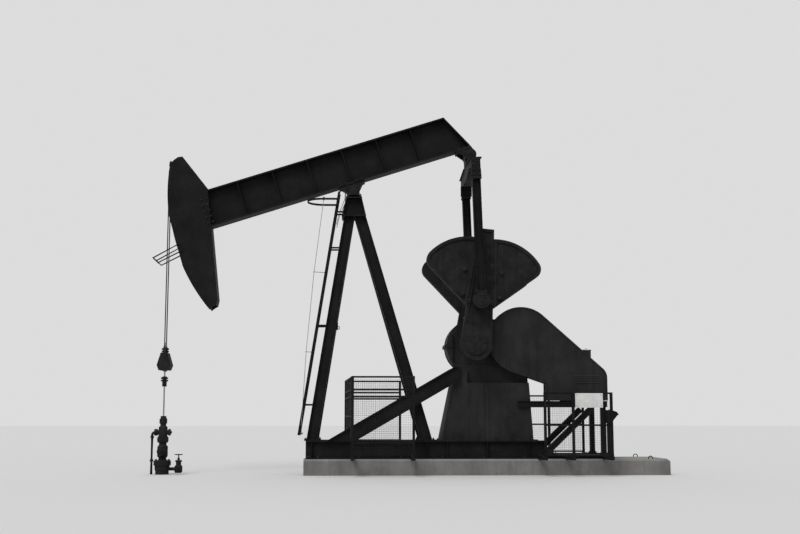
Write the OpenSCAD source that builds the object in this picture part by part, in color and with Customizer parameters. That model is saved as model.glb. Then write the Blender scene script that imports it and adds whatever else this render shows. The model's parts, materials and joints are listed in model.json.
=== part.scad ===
/* [Linkage] */
// Height of the centre bearing over the crankshaft, less a pitman's length
pivot_rise = 96; // [60:1:130]
// Radius of the horsehead, from the centre bearing to the rope
head_r = 4572; // [4450:2:4700]
// Distance from the centre bearing to the tail bearing
tail_arm = 3048; // [3000:2:3100]
// Length of a pitman, from the tail bearing to the wrist pin
pitman_len = 3765; // [3740:1:3790]
// Distance from the crankshaft to the wrist pin
crank_r = 1041; // [1000:1:1060]
// Distance from the centre bearing to the crankshaft, along the base
shaft_x = 2920; // [2880:2:2960]
// Height of the crankshaft over the ground
shaft_z = 3072; // [3050:2:3094]
// Angle of the crank from straight up, as drawn
crank_angle = 5.9; // [2:0.1:12]

/* [Concrete base] */
// Length of the concrete ahead of the centre bearing
conc_front = 1150; // [1130:10:1400]
// Length of the concrete behind the centre bearing
conc_rear = 7550; // [7000:10:8200]
// Width of the concrete
conc_w = 1560; // [1500:5:1590]
// Height of the concrete over the ground
conc_h = 380; // [300:5:400]
// Slope on the concrete's top edges
conc_chamfer = 30; // [5:1:60]

/* [Steel base] */
// Front end of the steel base, ahead of the centre bearing
skid_front = 1110; // [1100:5:1130]
// End of the deep part of the rails, behind the centre bearing
skid_deep_end = 4600; // [4450:5:4700]
// End of the low part of the rails
skid_low_end = 6230; // [6200:5:6600]
// Depth of the rails
skid_h = 430; // [400:5:460]
// Depth of the low part of the rails
skid_low_h = 100; // [80:5:140]
// Distance between the middles of the two rails
skid_gauge = 1160; // [1100:5:1200]
// Width of a rail's flanges
skid_flange = 240; // [180:5:260]
// Thickness of a rail's flanges
skid_flange_t = 26; // [16:1:32]
// Thickness of a rail's web
skid_web_t = 18; // [10:1:24]
// Number of cross beams
skid_cross_n = 6; // [4:1:8]
// Distance of the outer cross beams from the rails' ends
skid_cross_inset = 150; // [100:5:200]

/* [Samson post] */
// Front foot, ahead of the centre bearing
front_foot = 968; // [900:5:975]
// Rear foot, behind the centre bearing
rear_foot = 1757; // [1700:5:1800]
// Distance of the feet from the middle plane
foot_y = 560; // [500:5:600]
// Distance of the leg tops from the middle plane
leg_top_y = 170; // [150:5:190]
// Depth of a front leg
front_leg_d = 250; // [220:5:270]
// Depth of a rear leg
rear_leg_d = 270; // [230:5:290]
// Width of a leg's flanges
leg_flange = 180; // [140:5:190]
// Thickness of a leg's flanges
leg_flange_t = 20; // [12:1:26]
// Thickness of a leg's web
leg_web_t = 14; // [8:1:20]
// Distance of the leg tops under the centre bearing
leg_top_drop = 663; // [640:1:700]
// Height of the lowest brace over the steel base
brace_low = 850; // [700:10:1100]
// Distance of the highest brace under the leg tops
brace_high = 770; // [600:10:1000]
// Number of braces between each pair of legs
brace_n = 3; // [2:1:4]
// Width of a brace
brace_w = 90; // [70:5:120]
// Thickness of the feet's base plates
foot_plate_t = 28; // [20:1:40]

/* [Centre bearing] */
// Length of the post's head along the base
head_block_l = 350; // [300:5:380]
// Width of the post's head
head_block_w = 680; // [660:5:720]
// Radius of the centre shaft
centre_shaft_r = 75; // [60:1:90]
// Radius of the pillow blocks
pillow_r = 128; // [115:1:140]
// Width of the beam's bearing housing
saddle_w = 360; // [320:5:380]
// Width of one pillow block
pillow_w = 140; // [110:5:150]
// Radius of the beam's bearing housing
saddle_r = 140; // [125:1:150]
// Length of the saddle plate
saddle_l = 660; // [560:5:720]
// Running gap between a shaft and its bore
run_gap = 0.05; // [0.01:0.01:0.1]

/* [Walking beam] */
// Depth of the beam
beam_d = 914; // [860:2:940]
// Underside of the beam over the centre bearing
beam_low = 197; // [190:1:220]
// Width of the beam's flanges
beam_w = 420; // [380:5:440]
// Thickness of the beam's flanges
beam_flange_t = 38; // [24:1:45]
// Thickness of the beam's web
beam_web_t = 22; // [12:1:30]
// Distance of the beam's front end behind the horsehead's face
beam_front_gap = 822; // [810:2:880]
// End of the top flange behind the centre bearing
beam_top_rear = 2706; // [2650:5:2760]
// Reach of the tail behind the tail bearing
beam_tail_over = 75; // [60:5:100]
// Distance between web stiffeners
stiffener_pitch = 900; // [700:10:1100]

/* [Horsehead] */
// Angle of the head's top over the beam's line
head_top_a = 25.3; // [24.5:0.1:26]
// Angle of the head's toe under the beam's line
head_toe_a = 22.5; // [22.2:0.1:23.5]
// Depth of the head at its top
head_top_d = 782; // [740:2:820]
// Depth of the head at the beam's top
head_over_d = 1142; // [1120:2:1160]
// Depth of the head under the beam
head_under_d = 952; // [930:2:980]
// Depth of the head near its toe
head_toe_d = 587; // [560:2:620]
// Thickness of the side plates
head_side_t = 16; // [10:1:20]
// Thickness of the curved front plate
head_face_t = 20; // [12:1:26]
// Reach of the side plates past the middle of the ropes
head_lip = 20; // [15:1:30]
// Reach of the rope guard in front of the head
guard_reach = 620; // [560:5:660]

/* [Bridle and rod] */
// Diameter of a bridle rope
rope_d = 30; // [22:1:36]
// Distance between the two ropes
rope_gauge = 260; // [220:5:300]
// Top of the carrier bar over the ground, as drawn
carrier_top_z = 2910; // [2850:5:2960]
// Height of the carrier bar
carrier_h = 420; // [380:5:450]
// Diameter of the polished rod
rod_d = 38; // [32:1:45]
// Lower end of the polished rod over the ground
rod_low_z = 300; // [290:5:320]
// Reach of the polished rod over the carrier bar
rod_over = 260; // [200:5:300]

/* [Pitmans and cranks] */
// Distance of a pitman from the middle plane
pitman_y = 1245; // [1235:1:1260]
// Depth of a pitman
pitman_d = 200; // [170:5:220]
// Width of a pitman
pitman_w = 190; // [160:5:210]
// Depth of the equalizer in the middle
equalizer_d = 400; // [340:5:420]
// Top of a pitman under the tail bearing
pitman_top = 800; // [740:5:840]
// Radius of the tail shaft
tail_shaft_r = 70; // [60:1:80]
// Radius of the tail bearing housing
tail_housing_r = 150; // [135:1:165]
// Radius of a wrist bearing housing
wrist_r = 205; // [180:5:225]
// Inner face of the cranks, from the middle plane
crank_in = 860; // [850:2:870]
// Thickness of a crank
crank_t = 190; // [170:2:200]
// Radius of a crank's hub
crank_hub_r = 380; // [340:5:400]
// Length of a crank, from the shaft to its tip
crank_tip_r = 2790; // [2600:5:2800]
// Width of a crank at its tip
crank_tip_w = 340; // [300:5:380]
// Radius of the crankshaft
crank_shaft_r = 127; // [110:1:140]
// Thickness of a counterweight
weight_t = 250; // [220:5:256]
// Radius of a counterweight's outer edge
weight_r = 1288; // [1250:2:1300]
// Radius of a counterweight's nose
weight_nose_r = 243; // [200:1:260]
// Middle of a counterweight's outer edge, beside the crank's axis
weight_mid_x = 318; // [300:2:340]
// Middle of a counterweight's outer edge, from the shaft along the crank
weight_mid_z = 1274; // [1250:2:1300]
// Direction of a counterweight's nose, from square to the crank
weight_nose_a = 38.8; // [36:0.2:42]
// Inner end of a counterweight, from the shaft along the crank
weight_root = 900; // [860:5:940]
// Outer end of a counterweight, from the shaft along the crank
weight_end = 2560; // [2500:5:2600]

/* [Gear reducer] */
// Radius of the housing round the crankshaft
gear_r = 655; // [620:5:680]
// Width of the housing
gear_w = 840; // [780:5:880]
// Drive shaft behind the crankshaft
drive_dx = 1120; // [1080:5:1160]
// Drive shaft over the crankshaft
drive_dz = 126; // [100:2:150]
// Length of the pedestal at its foot
pedestal_l = 2210; // [2150:5:2260]
// Front of the pedestal's foot, behind the centre bearing
pedestal_x = 2110; // [2090:5:2130]
// Width of the pedestal
pedestal_w = 1200; // [1160:5:1260]
// Height of the pedestal's shoulder over the ground
pedestal_shoulder_z = 2180; // [2100:5:2250]
// Height of the pedestal's top over the ground
pedestal_z = 2560; // [2520:5:2600]
// Depth of the long strut's section
strut_d = 340; // [300:5:360]
// Width of the long strut's section
strut_w = 150; // [120:5:160]
// Slope of the long strut
strut_a = 30; // [28:0.5:32]
// Foot of the long strut's upper face, ahead of the centre bearing
strut_foot = 600; // [560:5:640]
// Upper end of the long strut, behind the pedestal's front
strut_end = 470; // [420:5:520]

/* [Drive] */
// Radius of the belt guard round the large pulley
guard_big_r = 797; // [760:2:820]
// Radius of the belt guard round the motor pulley
guard_small_r = 450; // [420:2:480]
// Motor shaft behind the drive shaft
motor_dx = 1560; // [1500:5:1620]
// Motor shaft under the drive shaft
motor_dz = 868; // [840:2:900]
// Outer face of the belt guard, from the middle plane
guard_out = 750; // [720:2:780]
// Width of the belt guard
guard_w = 300; // [260:5:320]
// Radius of the motor's body
motor_r = 290; // [260:5:310]
// Length of the motor's body
motor_l = 760; // [680:5:820]
// Height of the platform's top over the ground
platform_z = 1745; // [1700:5:1780]
// Depth of the platform's beams
platform_d = 140; // [110:5:160]
// Rear end of the platform, behind the centre bearing
platform_rear = 6100; // [6050:5:6150]
// Foot of a platform prop, behind the centre bearing
prop_x = 4470; // [4440:5:4520]
// Slope of a platform prop
prop_a = 44; // [42:0.5:48]
// Radius of the brake drum
brake_r = 330; // [280:5:360]

/* [Ladder and fences] */
// Distance of the ladder in front of the front legs
ladder_gap = 225; // [200:5:250]
// Width of the ladder
ladder_w = 400; // [360:5:440]
// Distance between rungs
rung_pitch = 305; // [280:5:320]
// Radius of a rung
rung_r = 13; // [10:1:16]
// Depth of the hoop at the ladder's top
hoop_d = 700; // [640:5:740]
// Distance of the fences from the middle plane
fence_y = 1640; // [1560:5:1850]
// Width of a fence post
fence_post = 60; // [45:1:70]
// Thickness of a fence rail
fence_rail = 40; // [30:1:45]
// Top of the front fence over the ground
fence_front_z = 2300; // [2200:10:2400]
// Top of the rear fence over the ground
fence_rear_z = 1930; // [1850:10:2000]
// Underside of the fences over the ground
fence_low_z = 470; // [470:5:520]
// Second rail of the front fence under its top
fence_rail_2 = 290; // [250:10:330]
// Third rail of the front fence under its top
fence_rail_3 = 450; // [400:10:500]
// Lowest rail of the front fence over its underside
fence_rail_low = 330; // [250:10:400]
// Front end of the near front fence, behind the centre bearing
fence_front_x = 0; // [-40:5:40]
// Length of a front fence
fence_front_l = 1400; // [1300:10:1500]
// Distance of the far front fence ahead of the near one
fence_shift = 190; // [150:5:230]
// Front end of a rear fence, behind the centre bearing
fence_rear_x = 4430; // [4380:10:4500]
// Length of a rear fence
fence_rear_l = 1540; // [1450:10:1600]
// Middle post of a rear fence, from its front end
fence_rear_mid = 650; // [500:10:800]
// Height of the ladder's foot over the ground
ladder_foot_z = 930; // [880:10:1000]
// Top of the ladder under the centre bearing
ladder_top_drop = 383; // [350:1:450]
// Front edge of the sign, behind the centre bearing
sign_x = 5130; // [5100:5:5160]
// Length of the sign
sign_l = 640; // [560:5:680]
// Height of the sign
sign_h = 330; // [280:5:340]

/* [Wellhead] */
// Radius of the casing head
casing_r = 160; // [140:5:180]
// Height of the stuffing box's top over the ground
stuffing_z = 1390; // [1350:5:1420]

/* [Hidden] */
$fn = 64;

// Colours of the painted steel, cast iron, concrete and bright metal
steel = [0.055, 0.057, 0.06];
dark_grey = [0.12, 0.12, 0.125];
grey = [0.2, 0.2, 0.205];
pale = [0.52, 0.51, 0.49];
bright = [0.72, 0.72, 0.7];

// Corners of the four-bar linkage as drawn, each [x, z]
pivot_z = shaft_z + pitman_len + pivot_rise;
pivot = [0, pivot_z];
shaft = [shaft_x, shaft_z];
wrist = shaft + crank_r * [sin(crank_angle), cos(crank_angle)];
reach = norm(wrist - pivot);
beam_angle = atan2(pivot_z - wrist[1], wrist[0])
    - acos((tail_arm ^ 2 + reach ^ 2 - pitman_len ^ 2) / (2 * tail_arm * reach));
tail = pivot + tail_arm * [cos(beam_angle), -sin(beam_angle)];
pitman_angle = atan2(tail[0] - wrist[0], tail[1] - wrist[1]);

// Levels and planes that several pieces share
skid_top = conc_h + skid_h;
skid_y = skid_gauge / 2;
beam_top = beam_low + beam_d;
beam_tail = tail_arm + beam_tail_over;
beam_front = head_r - beam_front_gap;
front_top = front_leg_d / 2 - 10;
rear_top = rear_leg_d / 2 + 25;
leg_top_z = pivot_z - leg_top_drop;
front_lean = atan((front_foot - front_top) / (leg_top_z - skid_top));
brace_step = (leg_top_z - brace_high - skid_top - brace_low) / (brace_n - 1);
brace_z = [for (i = [0 : brace_n - 1]) skid_top + brace_low + i * brace_step];
ladder_top_z = pivot_z - ladder_top_drop;
well_x = -head_r;
head_w = beam_w + 2 * head_side_t;
face_r = head_r - rope_d / 2;
drive = shaft + [drive_dx, drive_dz];
motor = drive + [motor_dx, -motor_dz];
crank_out = crank_in + crank_t;
weight_in = crank_in + crank_t / 2 - weight_t / 2;
weight_out = weight_in + weight_t;
wrist_in = weight_out + 10;
wrist_len = 2 * (pitman_y - wrist_in);
gap = 0.3;

// A prism between two planes across the base, from an outline in x and z
module slab(y0, y1) {
    translate([0, y1, 0]) rotate([90, 0, 0]) linear_extrude(y1 - y0) children();
}

// The same prism on both sides of the middle plane
module slab_pair(y0, y1) {
    slab(y0, y1) children();
    slab(-y1, -y0) children();
}

// A round bar across the base
module bar_y(r, y0, y1) {
    translate([0, y1, 0]) rotate([90, 0, 0]) cylinder(r = r, h = y1 - y0);
}

// A rolled section, its depth along x
module i_section(depth, width, flange_t, web_t) {
    square([depth, web_t], center = true);
    for (s = [-1, 1]) {
        translate([s * (depth - flange_t) / 2, 0]) square([flange_t, width], center = true);
    }
}

// A straight member from p to q, its section drawn in x and y
module member(p, q) {
    d = q - p;
    len = norm(d);
    translate(p) rotate([-asin(d[1] / len), atan2(d[0], d[2]), 0]) linear_extrude(len) children();
}

// A flat strip of thickness t to the left of the line from p to q, in x and z
module strip(p, q, t) {
    d = q - p;
    n = [-d[1], d[0]] / norm(d) * t;
    polygon([p, q, q + n, p + n]);
}

// A curved strip of the head, between two angles over the beam's line
module head_arc(r0, r1, a0, a1, half_w) {
    rotate([90, 0, 0]) rotate([0, 0, 180 - a1]) rotate_extrude(angle = a1 - a0, $fn = 180)
        translate([r0, -half_w]) square([r1 - r0, 2 * half_w]);
}

module on_beam() {
    translate([pivot[0], 0, pivot[1]]) rotate([0, beam_angle, 0]) children();
}

module on_pitman() {
    translate([tail[0], 0, tail[1]]) rotate([0, pitman_angle, 0]) children();
}

module on_crank() {
    translate([shaft[0], 0, shaft[1]]) rotate([0, crank_angle, 0]) children();
}

function front_leg_at(z) = let (k = (z - skid_top) / (leg_top_z - skid_top))
    [-front_foot + k * (front_foot - front_top), foot_y + k * (leg_top_y - foot_y)];
function rear_leg_at(z) = let (k = (z - skid_top) / (leg_top_z - skid_top))
    [rear_foot + k * (rear_top - rear_foot), foot_y + k * (leg_top_y - foot_y)];

module concrete_base() {
    color(pale) difference() {
        translate([-conc_front, -conc_w / 2, 0]) cube([conc_front + conc_rear, conc_w, conc_h]);
        for (s = [-1, 1]) {
            translate([-conc_front - 1, s * conc_w / 2, conc_h]) rotate([45, 0, 0])
                translate([0, -conc_chamfer, -conc_chamfer])
                    cube([conc_front + conc_rear + 2, 2 * conc_chamfer, 2 * conc_chamfer]);
        }
        translate([conc_rear, 0, conc_h]) rotate([0, 45, 0])
            cube([3 * conc_chamfer, conc_w + 2, 3 * conc_chamfer], center = true);
    }
}

module skid_rails() {
    color(steel) slab_pair(skid_y - skid_web_t / 2, skid_y + skid_web_t / 2)
        polygon([[-skid_front, conc_h], [-skid_front, skid_top], [skid_deep_end, skid_top],
            [skid_deep_end, conc_h + skid_low_h], [skid_low_end, conc_h + skid_low_h],
            [skid_low_end, conc_h]]);
    color(steel) slab_pair(skid_y - skid_flange / 2, skid_y + skid_flange / 2) {
        translate([-skid_front, conc_h]) square([skid_front + skid_low_end, skid_flange_t]);
        translate([-skid_front, skid_top - skid_flange_t])
            square([skid_front + skid_deep_end, skid_flange_t]);
        translate([skid_deep_end - skid_flange_t, conc_h]) square([skid_flange_t, skid_h]);
        translate([skid_deep_end, conc_h + skid_low_h - skid_flange_t])
            square([skid_low_end - skid_deep_end, skid_flange_t]);
    }
}

module skid_crossbeams() {
    inner = skid_y - skid_web_t / 2;
    span = skid_front + skid_deep_end - 2 * skid_cross_inset;
    color(steel) for (i = [0 : skid_cross_n - 1]) {
        x = -skid_front + skid_cross_inset + i * span / (skid_cross_n - 1);
        translate([x, inner, conc_h + skid_flange_t + 100]) rotate([90, 90, 0])
            linear_extrude(2 * inner) i_section(200, 120, 14, 10);
    }
    color(steel) translate([skid_low_end - 60, inner, conc_h + skid_low_h / 2]) rotate([90, 90, 0])
        linear_extrude(2 * inner) i_section(skid_low_h - 2 * skid_flange_t, 80, 8, 8);
}

module leg(foot, top, depth) {
    for (s = [-1, 1]) {
        intersection() {
            member([2 * foot[0] - top[0], s * (2 * foot[1] - top[1]), 2 * skid_top - leg_top_z],
                [2 * top[0] - foot[0], s * (2 * top[1] - foot[1]), 2 * leg_top_z - skid_top])
                i_section(depth, leg_flange, leg_flange_t, leg_web_t);
            translate([-5000, -5000, skid_top + foot_plate_t])
                cube([10000, 10000, leg_top_z - skid_top - foot_plate_t]);
        }
        translate([foot[0] - depth * 0.72, s * foot[1] - skid_flange / 2, skid_top])
            cube([depth * 1.44, skid_flange, foot_plate_t]);
    }
}

module front_legs() {
    color(steel) leg([-front_foot, foot_y], [-front_top, leg_top_y], front_leg_d);
}

module rear_legs() {
    color(steel) leg([rear_foot, foot_y], [rear_top, leg_top_y], rear_leg_d);
}

// A brace across between two leg webs, its ends cut along the webs
module brace(x, y_low, y_high, z) {
    translate([x - brace_w / 2, 0, z]) rotate([90, 0, 90]) linear_extrude(brace_w)
        polygon([[-y_low, -brace_w / 2], [y_low, -brace_w / 2], [y_high, brace_w / 2], [-y_high, brace_w / 2]]);
}

module leg_bracing() {
    inset = leg_web_t / 2 + 4 * gap;
    h = brace_w / 2;
    color(steel) for (z = brace_z) {
        brace(front_leg_at(z)[0], front_leg_at(z - h)[1] - inset, front_leg_at(z + h)[1] - inset, z);
        brace(rear_leg_at(z)[0], rear_leg_at(z - h)[1] - inset, rear_leg_at(z + h)[1] - inset, z);
    }
}

module post_head() {
    color(steel) {
        translate([-head_block_l / 2, -head_block_w / 2, leg_top_z])
            cube([head_block_l, head_block_w, 40]);
        slab(-head_block_w / 2 + 20, head_block_w / 2 - 20)
            polygon([[-head_block_l / 2 + 10, leg_top_z + 35], [head_block_l / 2 - 10, leg_top_z + 35],
                [head_block_l / 2 - 40, pivot_z - 205], [-head_block_l / 2 + 40, pivot_z - 205]]);
        translate([-head_block_l / 2 + 10, -head_block_w / 2, pivot_z - 210])
            cube([head_block_l - 20, head_block_w, 35]);
    }
}

module center_bearing() {
    pillow_in = saddle_w / 2 + 20;
    color(dark_grey) slab_pair(pillow_in, pillow_in + pillow_w) translate(pivot) {
        circle(r = pillow_r);
        translate([-pillow_r, -175]) square([2 * pillow_r, 175]);
    }
    color(bright) translate([0, 0, pivot_z])
        bar_y(centre_shaft_r, -pillow_in - pillow_w - 10, pillow_in + pillow_w + 10);
}

module walking_beam() {
    color(steel) on_beam() {
        slab(-beam_web_t / 2, beam_web_t / 2)
            polygon([[-beam_front, beam_low], [-beam_front, beam_top], [beam_top_rear, beam_top],
                [beam_tail, beam_low + 40], [beam_tail, beam_low]]);
        translate([-beam_front, -beam_w / 2, beam_low])
            cube([beam_front + beam_tail, beam_w, beam_flange_t]);
        translate([-beam_front, -beam_w / 2, beam_top - beam_flange_t])
            cube([beam_front + beam_top_rear, beam_w, beam_flange_t]);
        slab(-beam_w / 2, beam_w / 2) {
            strip([beam_top_rear, beam_top], [beam_tail, beam_low + 40], -30);
            translate([-beam_front, beam_low]) square([24, beam_d]);
        }
        for (x = [-3 * stiffener_pitch : stiffener_pitch : 2 * stiffener_pitch]) {
            translate([x - 8, -beam_w / 2 + 12, beam_low]) cube([16, beam_w - 24, beam_d]);
        }
    }
}

module beam_saddle() {
    color(dark_grey) on_beam() difference() {
        union() {
            slab(-saddle_w / 2, saddle_w / 2) {
                circle(r = saddle_r);
                polygon([[-saddle_r, 0], [saddle_r, 0], [saddle_l / 2 - 50, beam_low - 45],
                    [-saddle_l / 2 + 50, beam_low - 45]]);
            }
            translate([-saddle_l / 2, -saddle_w / 2, beam_low - 50]) cube([saddle_l, saddle_w, 50]);
        }
        bar_y(centre_shaft_r + run_gap, -saddle_w, saddle_w);
    }
}

// Side view of the horsehead, in the beam's own x and z
function head_pt(r, a) = [-r * cos(a), r * sin(a)];
head_back_top = [-(head_r - head_top_d), head_r * sin(head_top_a) + 136];
head_over = [-(head_r - head_over_d), beam_top + 20];
head_under = [-(head_r - head_under_d), beam_low - 6];
head_toe = [-(head_r - head_toe_d), -head_r * sin(head_toe_a) + 180];

module head_outline() {
    intersection() {
        circle(r = head_r + head_lip, $fn = 180);
        polygon([head_back_top, head_over, head_under, head_toe,
            head_toe + [-75, -130], head_pt(head_r - 70, -head_toe_a), head_pt(head_r + 400, -head_toe_a),
            head_pt(head_r + 400, head_top_a), head_pt(head_r + 20, head_top_a),
            head_back_top + [-230, -20], head_back_top + [-110, 20]]);
    }
}

module horsehead() {
    in_w = beam_w / 2;
    color(steel) on_beam() {
        slab_pair(in_w, in_w + head_side_t) head_outline();
        head_arc(face_r - head_face_t, face_r, -head_toe_a, head_top_a, in_w + 1);
        slab(-in_w - 1, in_w + 1) {
            strip(head_back_top, head_over, -head_face_t);
            strip(head_under, head_toe, -head_face_t);
            strip(head_toe, head_toe + [-75, -130], -head_face_t);
        }
        for (s = [-1, 1]) {
            rotate([0, head_top_a, 0]) translate([0, s * rope_gauge / 2 - 45, 0]) {
                translate([-head_r - 45, 0, 0]) cube([90, 90, 110]);
                translate([-face_r, 0, -60]) cube([head_face_t, 90, 60]);
            }
        }
    }
}

module bridle_wrap() {
    top = head_top_a;
    color(bright) on_beam() for (s = [-1, 1]) {
        rotate([90, 0, 0]) rotate([0, 0, 180 - top]) rotate_extrude(angle = top + beam_angle, $fn = 180)
            translate([head_r, s * rope_gauge / 2]) circle(d = rope_d - 0.6, $fn = 24);
    }
}

module rope_guard() {
    t = 24;
    root = -head_r + 110;
    tip = -head_r - guard_reach;
    y = head_w / 2 + gap;
    color(steel) on_beam() {
        slab_pair(y, y + t) difference() {
            polygon([[root, 30], [tip - 12, -118], [tip + 80, -292], [root, -182]]);
            polygon([[root - t, 5], [tip + 24, -138], [tip + 92, -266], [root - t, -158]]);
        }
        slab(-y - t / 2, y + t / 2) {
            translate([tip + 4, -148]) square(t - 4);
            translate([tip + 74, -278]) square(t - 10);
        }
    }
}

module tail_bracket() {
    lug_in = 200;
    color(dark_grey) on_beam() {
        translate([tail_arm - 300, -280, beam_low - 40]) cube([380, 560, 40]);
        slab_pair(lug_in, lug_in + 70) translate([tail_arm, 0]) {
            circle(r = tail_housing_r);
            polygon([[-tail_housing_r, 0], [tail_housing_r, 0], [beam_tail_over + 5, beam_low - 20],
                [-290, beam_low - 20]]);
        }
        translate([tail_arm, 0, 0]) bar_y(tail_shaft_r, -lug_in - 80, lug_in + 80);
    }
}

module equalizer() {
    half = 190;
    top = -260;
    arm_top = -pitman_top;
    color(steel) on_pitman() difference() {
        union() {
            bar_y(tail_housing_r, -half, half);
            translate([-130, -half, top - 20]) cube([260, 2 * half, -top]);
            rotate([90, 0, 90]) translate([0, 0, -pitman_d / 2 - 10]) linear_extrude(pitman_d + 20)
                polygon([[-pitman_y - 100, top - 60], [-half - 60, top], [half + 60, top],
                    [pitman_y + 100, top - 60], [pitman_y + 100, arm_top], [pitman_y - 100, arm_top],
                    [pitman_y - 170, top - 300], [half + 200, top - equalizer_d],
                    [-half - 200, top - equalizer_d], [-pitman_y + 170, top - 300],
                    [-pitman_y + 100, arm_top], [-pitman_y - 100, arm_top]]);
        }
        bar_y(tail_shaft_r + run_gap, -half - 1, half + 1);
    }
}

module pitman_arms() {
    top = -pitman_top;
    color(steel) on_pitman() for (s = [-1, 1]) {
        translate([0, s * pitman_y, -pitman_len + wrist_r - 8])
            linear_extrude(pitman_len - wrist_r + 8 + top) i_section(pitman_d, pitman_w, 18, 14);
        translate([-pitman_d / 2, s * pitman_y - pitman_w / 2, top - 24]) cube([pitman_d, pitman_w, 24]);
    }
}

module wrist_bearings() {
    color(dark_grey) on_pitman() translate([0, 0, -pitman_len]) for (s = [-1, 1]) {
        difference() {
            bar_y(wrist_r, s * pitman_y - wrist_len / 2, s * pitman_y + wrist_len / 2);
            translate([-wrist_r, s * pitman_y - wrist_len, wrist_r - 8]) cube([2 * wrist_r, 2 * wrist_len, 20]);
        }
    }
}

module crank_shaft() {
    color(bright) translate([shaft_x, 0, shaft_z]) bar_y(crank_shaft_r, -crank_in + gap, crank_in - gap);
}

module crank_outline() {
    circle(r = crank_hub_r);
    polygon([[-crank_hub_r * 0.99, 60], [-crank_tip_w / 2, crank_tip_r], [crank_tip_w / 2, crank_tip_r],
        [crank_hub_r * 0.99, 60]]);
}

module crank(s) {
    color(steel) on_crank() difference() {
        union() {
            slab(s > 0 ? crank_in : -crank_out, s > 0 ? crank_out : -crank_in) crank_outline();
            translate([0, 0, crank_r])
                bar_y(150, s > 0 ? crank_in : -weight_out, s > 0 ? weight_out : -crank_in);
            bar_y(crank_hub_r - 120, s > 0 ? crank_in : -weight_out, s > 0 ? weight_out : -crank_in);
        }
    }
}

module crank_near() {
    crank(-1);
}

module crank_far() {
    crank(1);
}

// Half width of a crank at a distance from its shaft
function crank_half(r) = crank_hub_r * 0.99
    + (crank_tip_w / 2 - crank_hub_r * 0.99) * (r - 60) / (crank_tip_r - 60);

weight_c = [weight_mid_x, weight_mid_z];
nose_dir = [cos(weight_nose_a), sin(weight_nose_a)];
nose_c = weight_c + (weight_r - weight_nose_r) * nose_dir;

module weight_outline() {
    root = [crank_half(weight_root) + gap, weight_root];
    end = [crank_half(weight_end) + gap, weight_end];
    d = nose_c - root;
    lean = asin(weight_nose_r / norm(d));
    u = d / norm(d);
    low = root + norm(d) * cos(lean) * [u[0] * cos(lean) + u[1] * sin(lean),
        -u[0] * sin(lean) + u[1] * cos(lean)];
    intersection() {
        translate(weight_c) circle(r = weight_r, $fn = 128);
        polygon([root, low, nose_c, weight_c + 1.4 * weight_r * nose_dir,
            [weight_r * 0.9, weight_end + 900], [0, weight_end + 900], end]);
    }
    translate(nose_c) circle(r = weight_nose_r);
}

module counterweights(s) {
    y0 = s > 0 ? weight_in : -weight_out;
    color(dark_grey) on_crank() for (m = [0, 1]) {
        mirror([m, 0, 0]) slab(y0, y0 + weight_t) weight_outline();
    }
}

module counterweights_near() {
    counterweights(-1);
}

module counterweights_far() {
    counterweights(1);
}

module pedestal() {
    top_x0 = shaft_x - 440;
    top_x1 = drive[0] + 160;
    sides = [[pedestal_x, skid_top], [top_x0, pedestal_z], [top_x1, pedestal_z],
        [pedestal_x + pedestal_l, skid_top]];
    color(grey) {
        intersection() {
            slab(-pedestal_w / 2, pedestal_w / 2) polygon(sides);
            translate([0, -2000, skid_top]) cube([9000, 4000, pedestal_shoulder_z - skid_top]);
        }
        slab(-gear_w / 2 - 20, gear_w / 2 + 20) polygon(sides);
        slab_pair(gear_w / 2, pedestal_w / 2) polygon([[top_x0 - 60, pedestal_shoulder_z - 60],
            [top_x0 - 10, pedestal_z - 60], [top_x0 + 260, pedestal_z - 60],
            [top_x0 + 260, pedestal_shoulder_z - 60]]);
    }
}

module pedestal_struts() {
    c = cos(strut_a);
    foot = [-strut_foot, skid_top];
    mid = foot + strut_d / 2 * [sin(strut_a), -c];
    y = (pedestal_w + strut_w) / 2 + gap;
    len = 2 * (strut_foot + pedestal_x);
    color(steel) for (s = [-1, 1]) {
        intersection() {
            member([mid[0] - 2 * strut_d * c, s * y, mid[1] - 2 * strut_d * sin(strut_a)],
                [mid[0] + len * c, s * y, mid[1] + len * sin(strut_a)])
                i_section(strut_d, strut_w, 22, 16);
            translate([-len, -len, skid_top])
                cube([len + pedestal_x + strut_end, 2 * len, pedestal_z - skid_top]);
        }
    }
}

module gear_shape(extra) {
    translate(shaft) circle(r = gear_r + extra);
    polygon([[shaft_x, shaft_z + gear_r + extra], [shaft_x + 480, shaft_z + gear_r + extra],
        [drive[0] + 420, drive[1] + 330 + extra], [drive[0] + 480 + extra, shaft_z],
        [drive[0] + 300, pedestal_z + 40], [shaft_x - 380, pedestal_z + 40], [shaft_x - gear_r, shaft_z]]);
}

module gear_reducer() {
    color(dark_grey) difference() {
        union() {
            intersection() {
                slab(-gear_w / 2, gear_w / 2) gear_shape(0);
                translate([0, -1000, pedestal_z]) cube([8000, 2000, shaft_z - pedestal_z]);
            }
            translate([shaft_x - 430, -gear_w / 2 - 20, pedestal_z]) cube([drive_dx + 560, gear_w + 40, 60]);
            translate([shaft_x - gear_r - 40, -gear_w / 2 - 20, shaft_z - 40])
                cube([gear_r + drive_dx + 560, gear_w + 40, 40]);
            translate([shaft_x, 0, shaft_z]) intersection() {
                bar_y(240, -gear_w / 2 - 100, gear_w / 2 + 100);
                translate([-500, -1000, -1000]) cube([1000, 2000, 1000]);
            }
        }
        translate([shaft_x, 0, shaft_z]) bar_y(crank_shaft_r + run_gap, -1000, 1000);
    }
}

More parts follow.
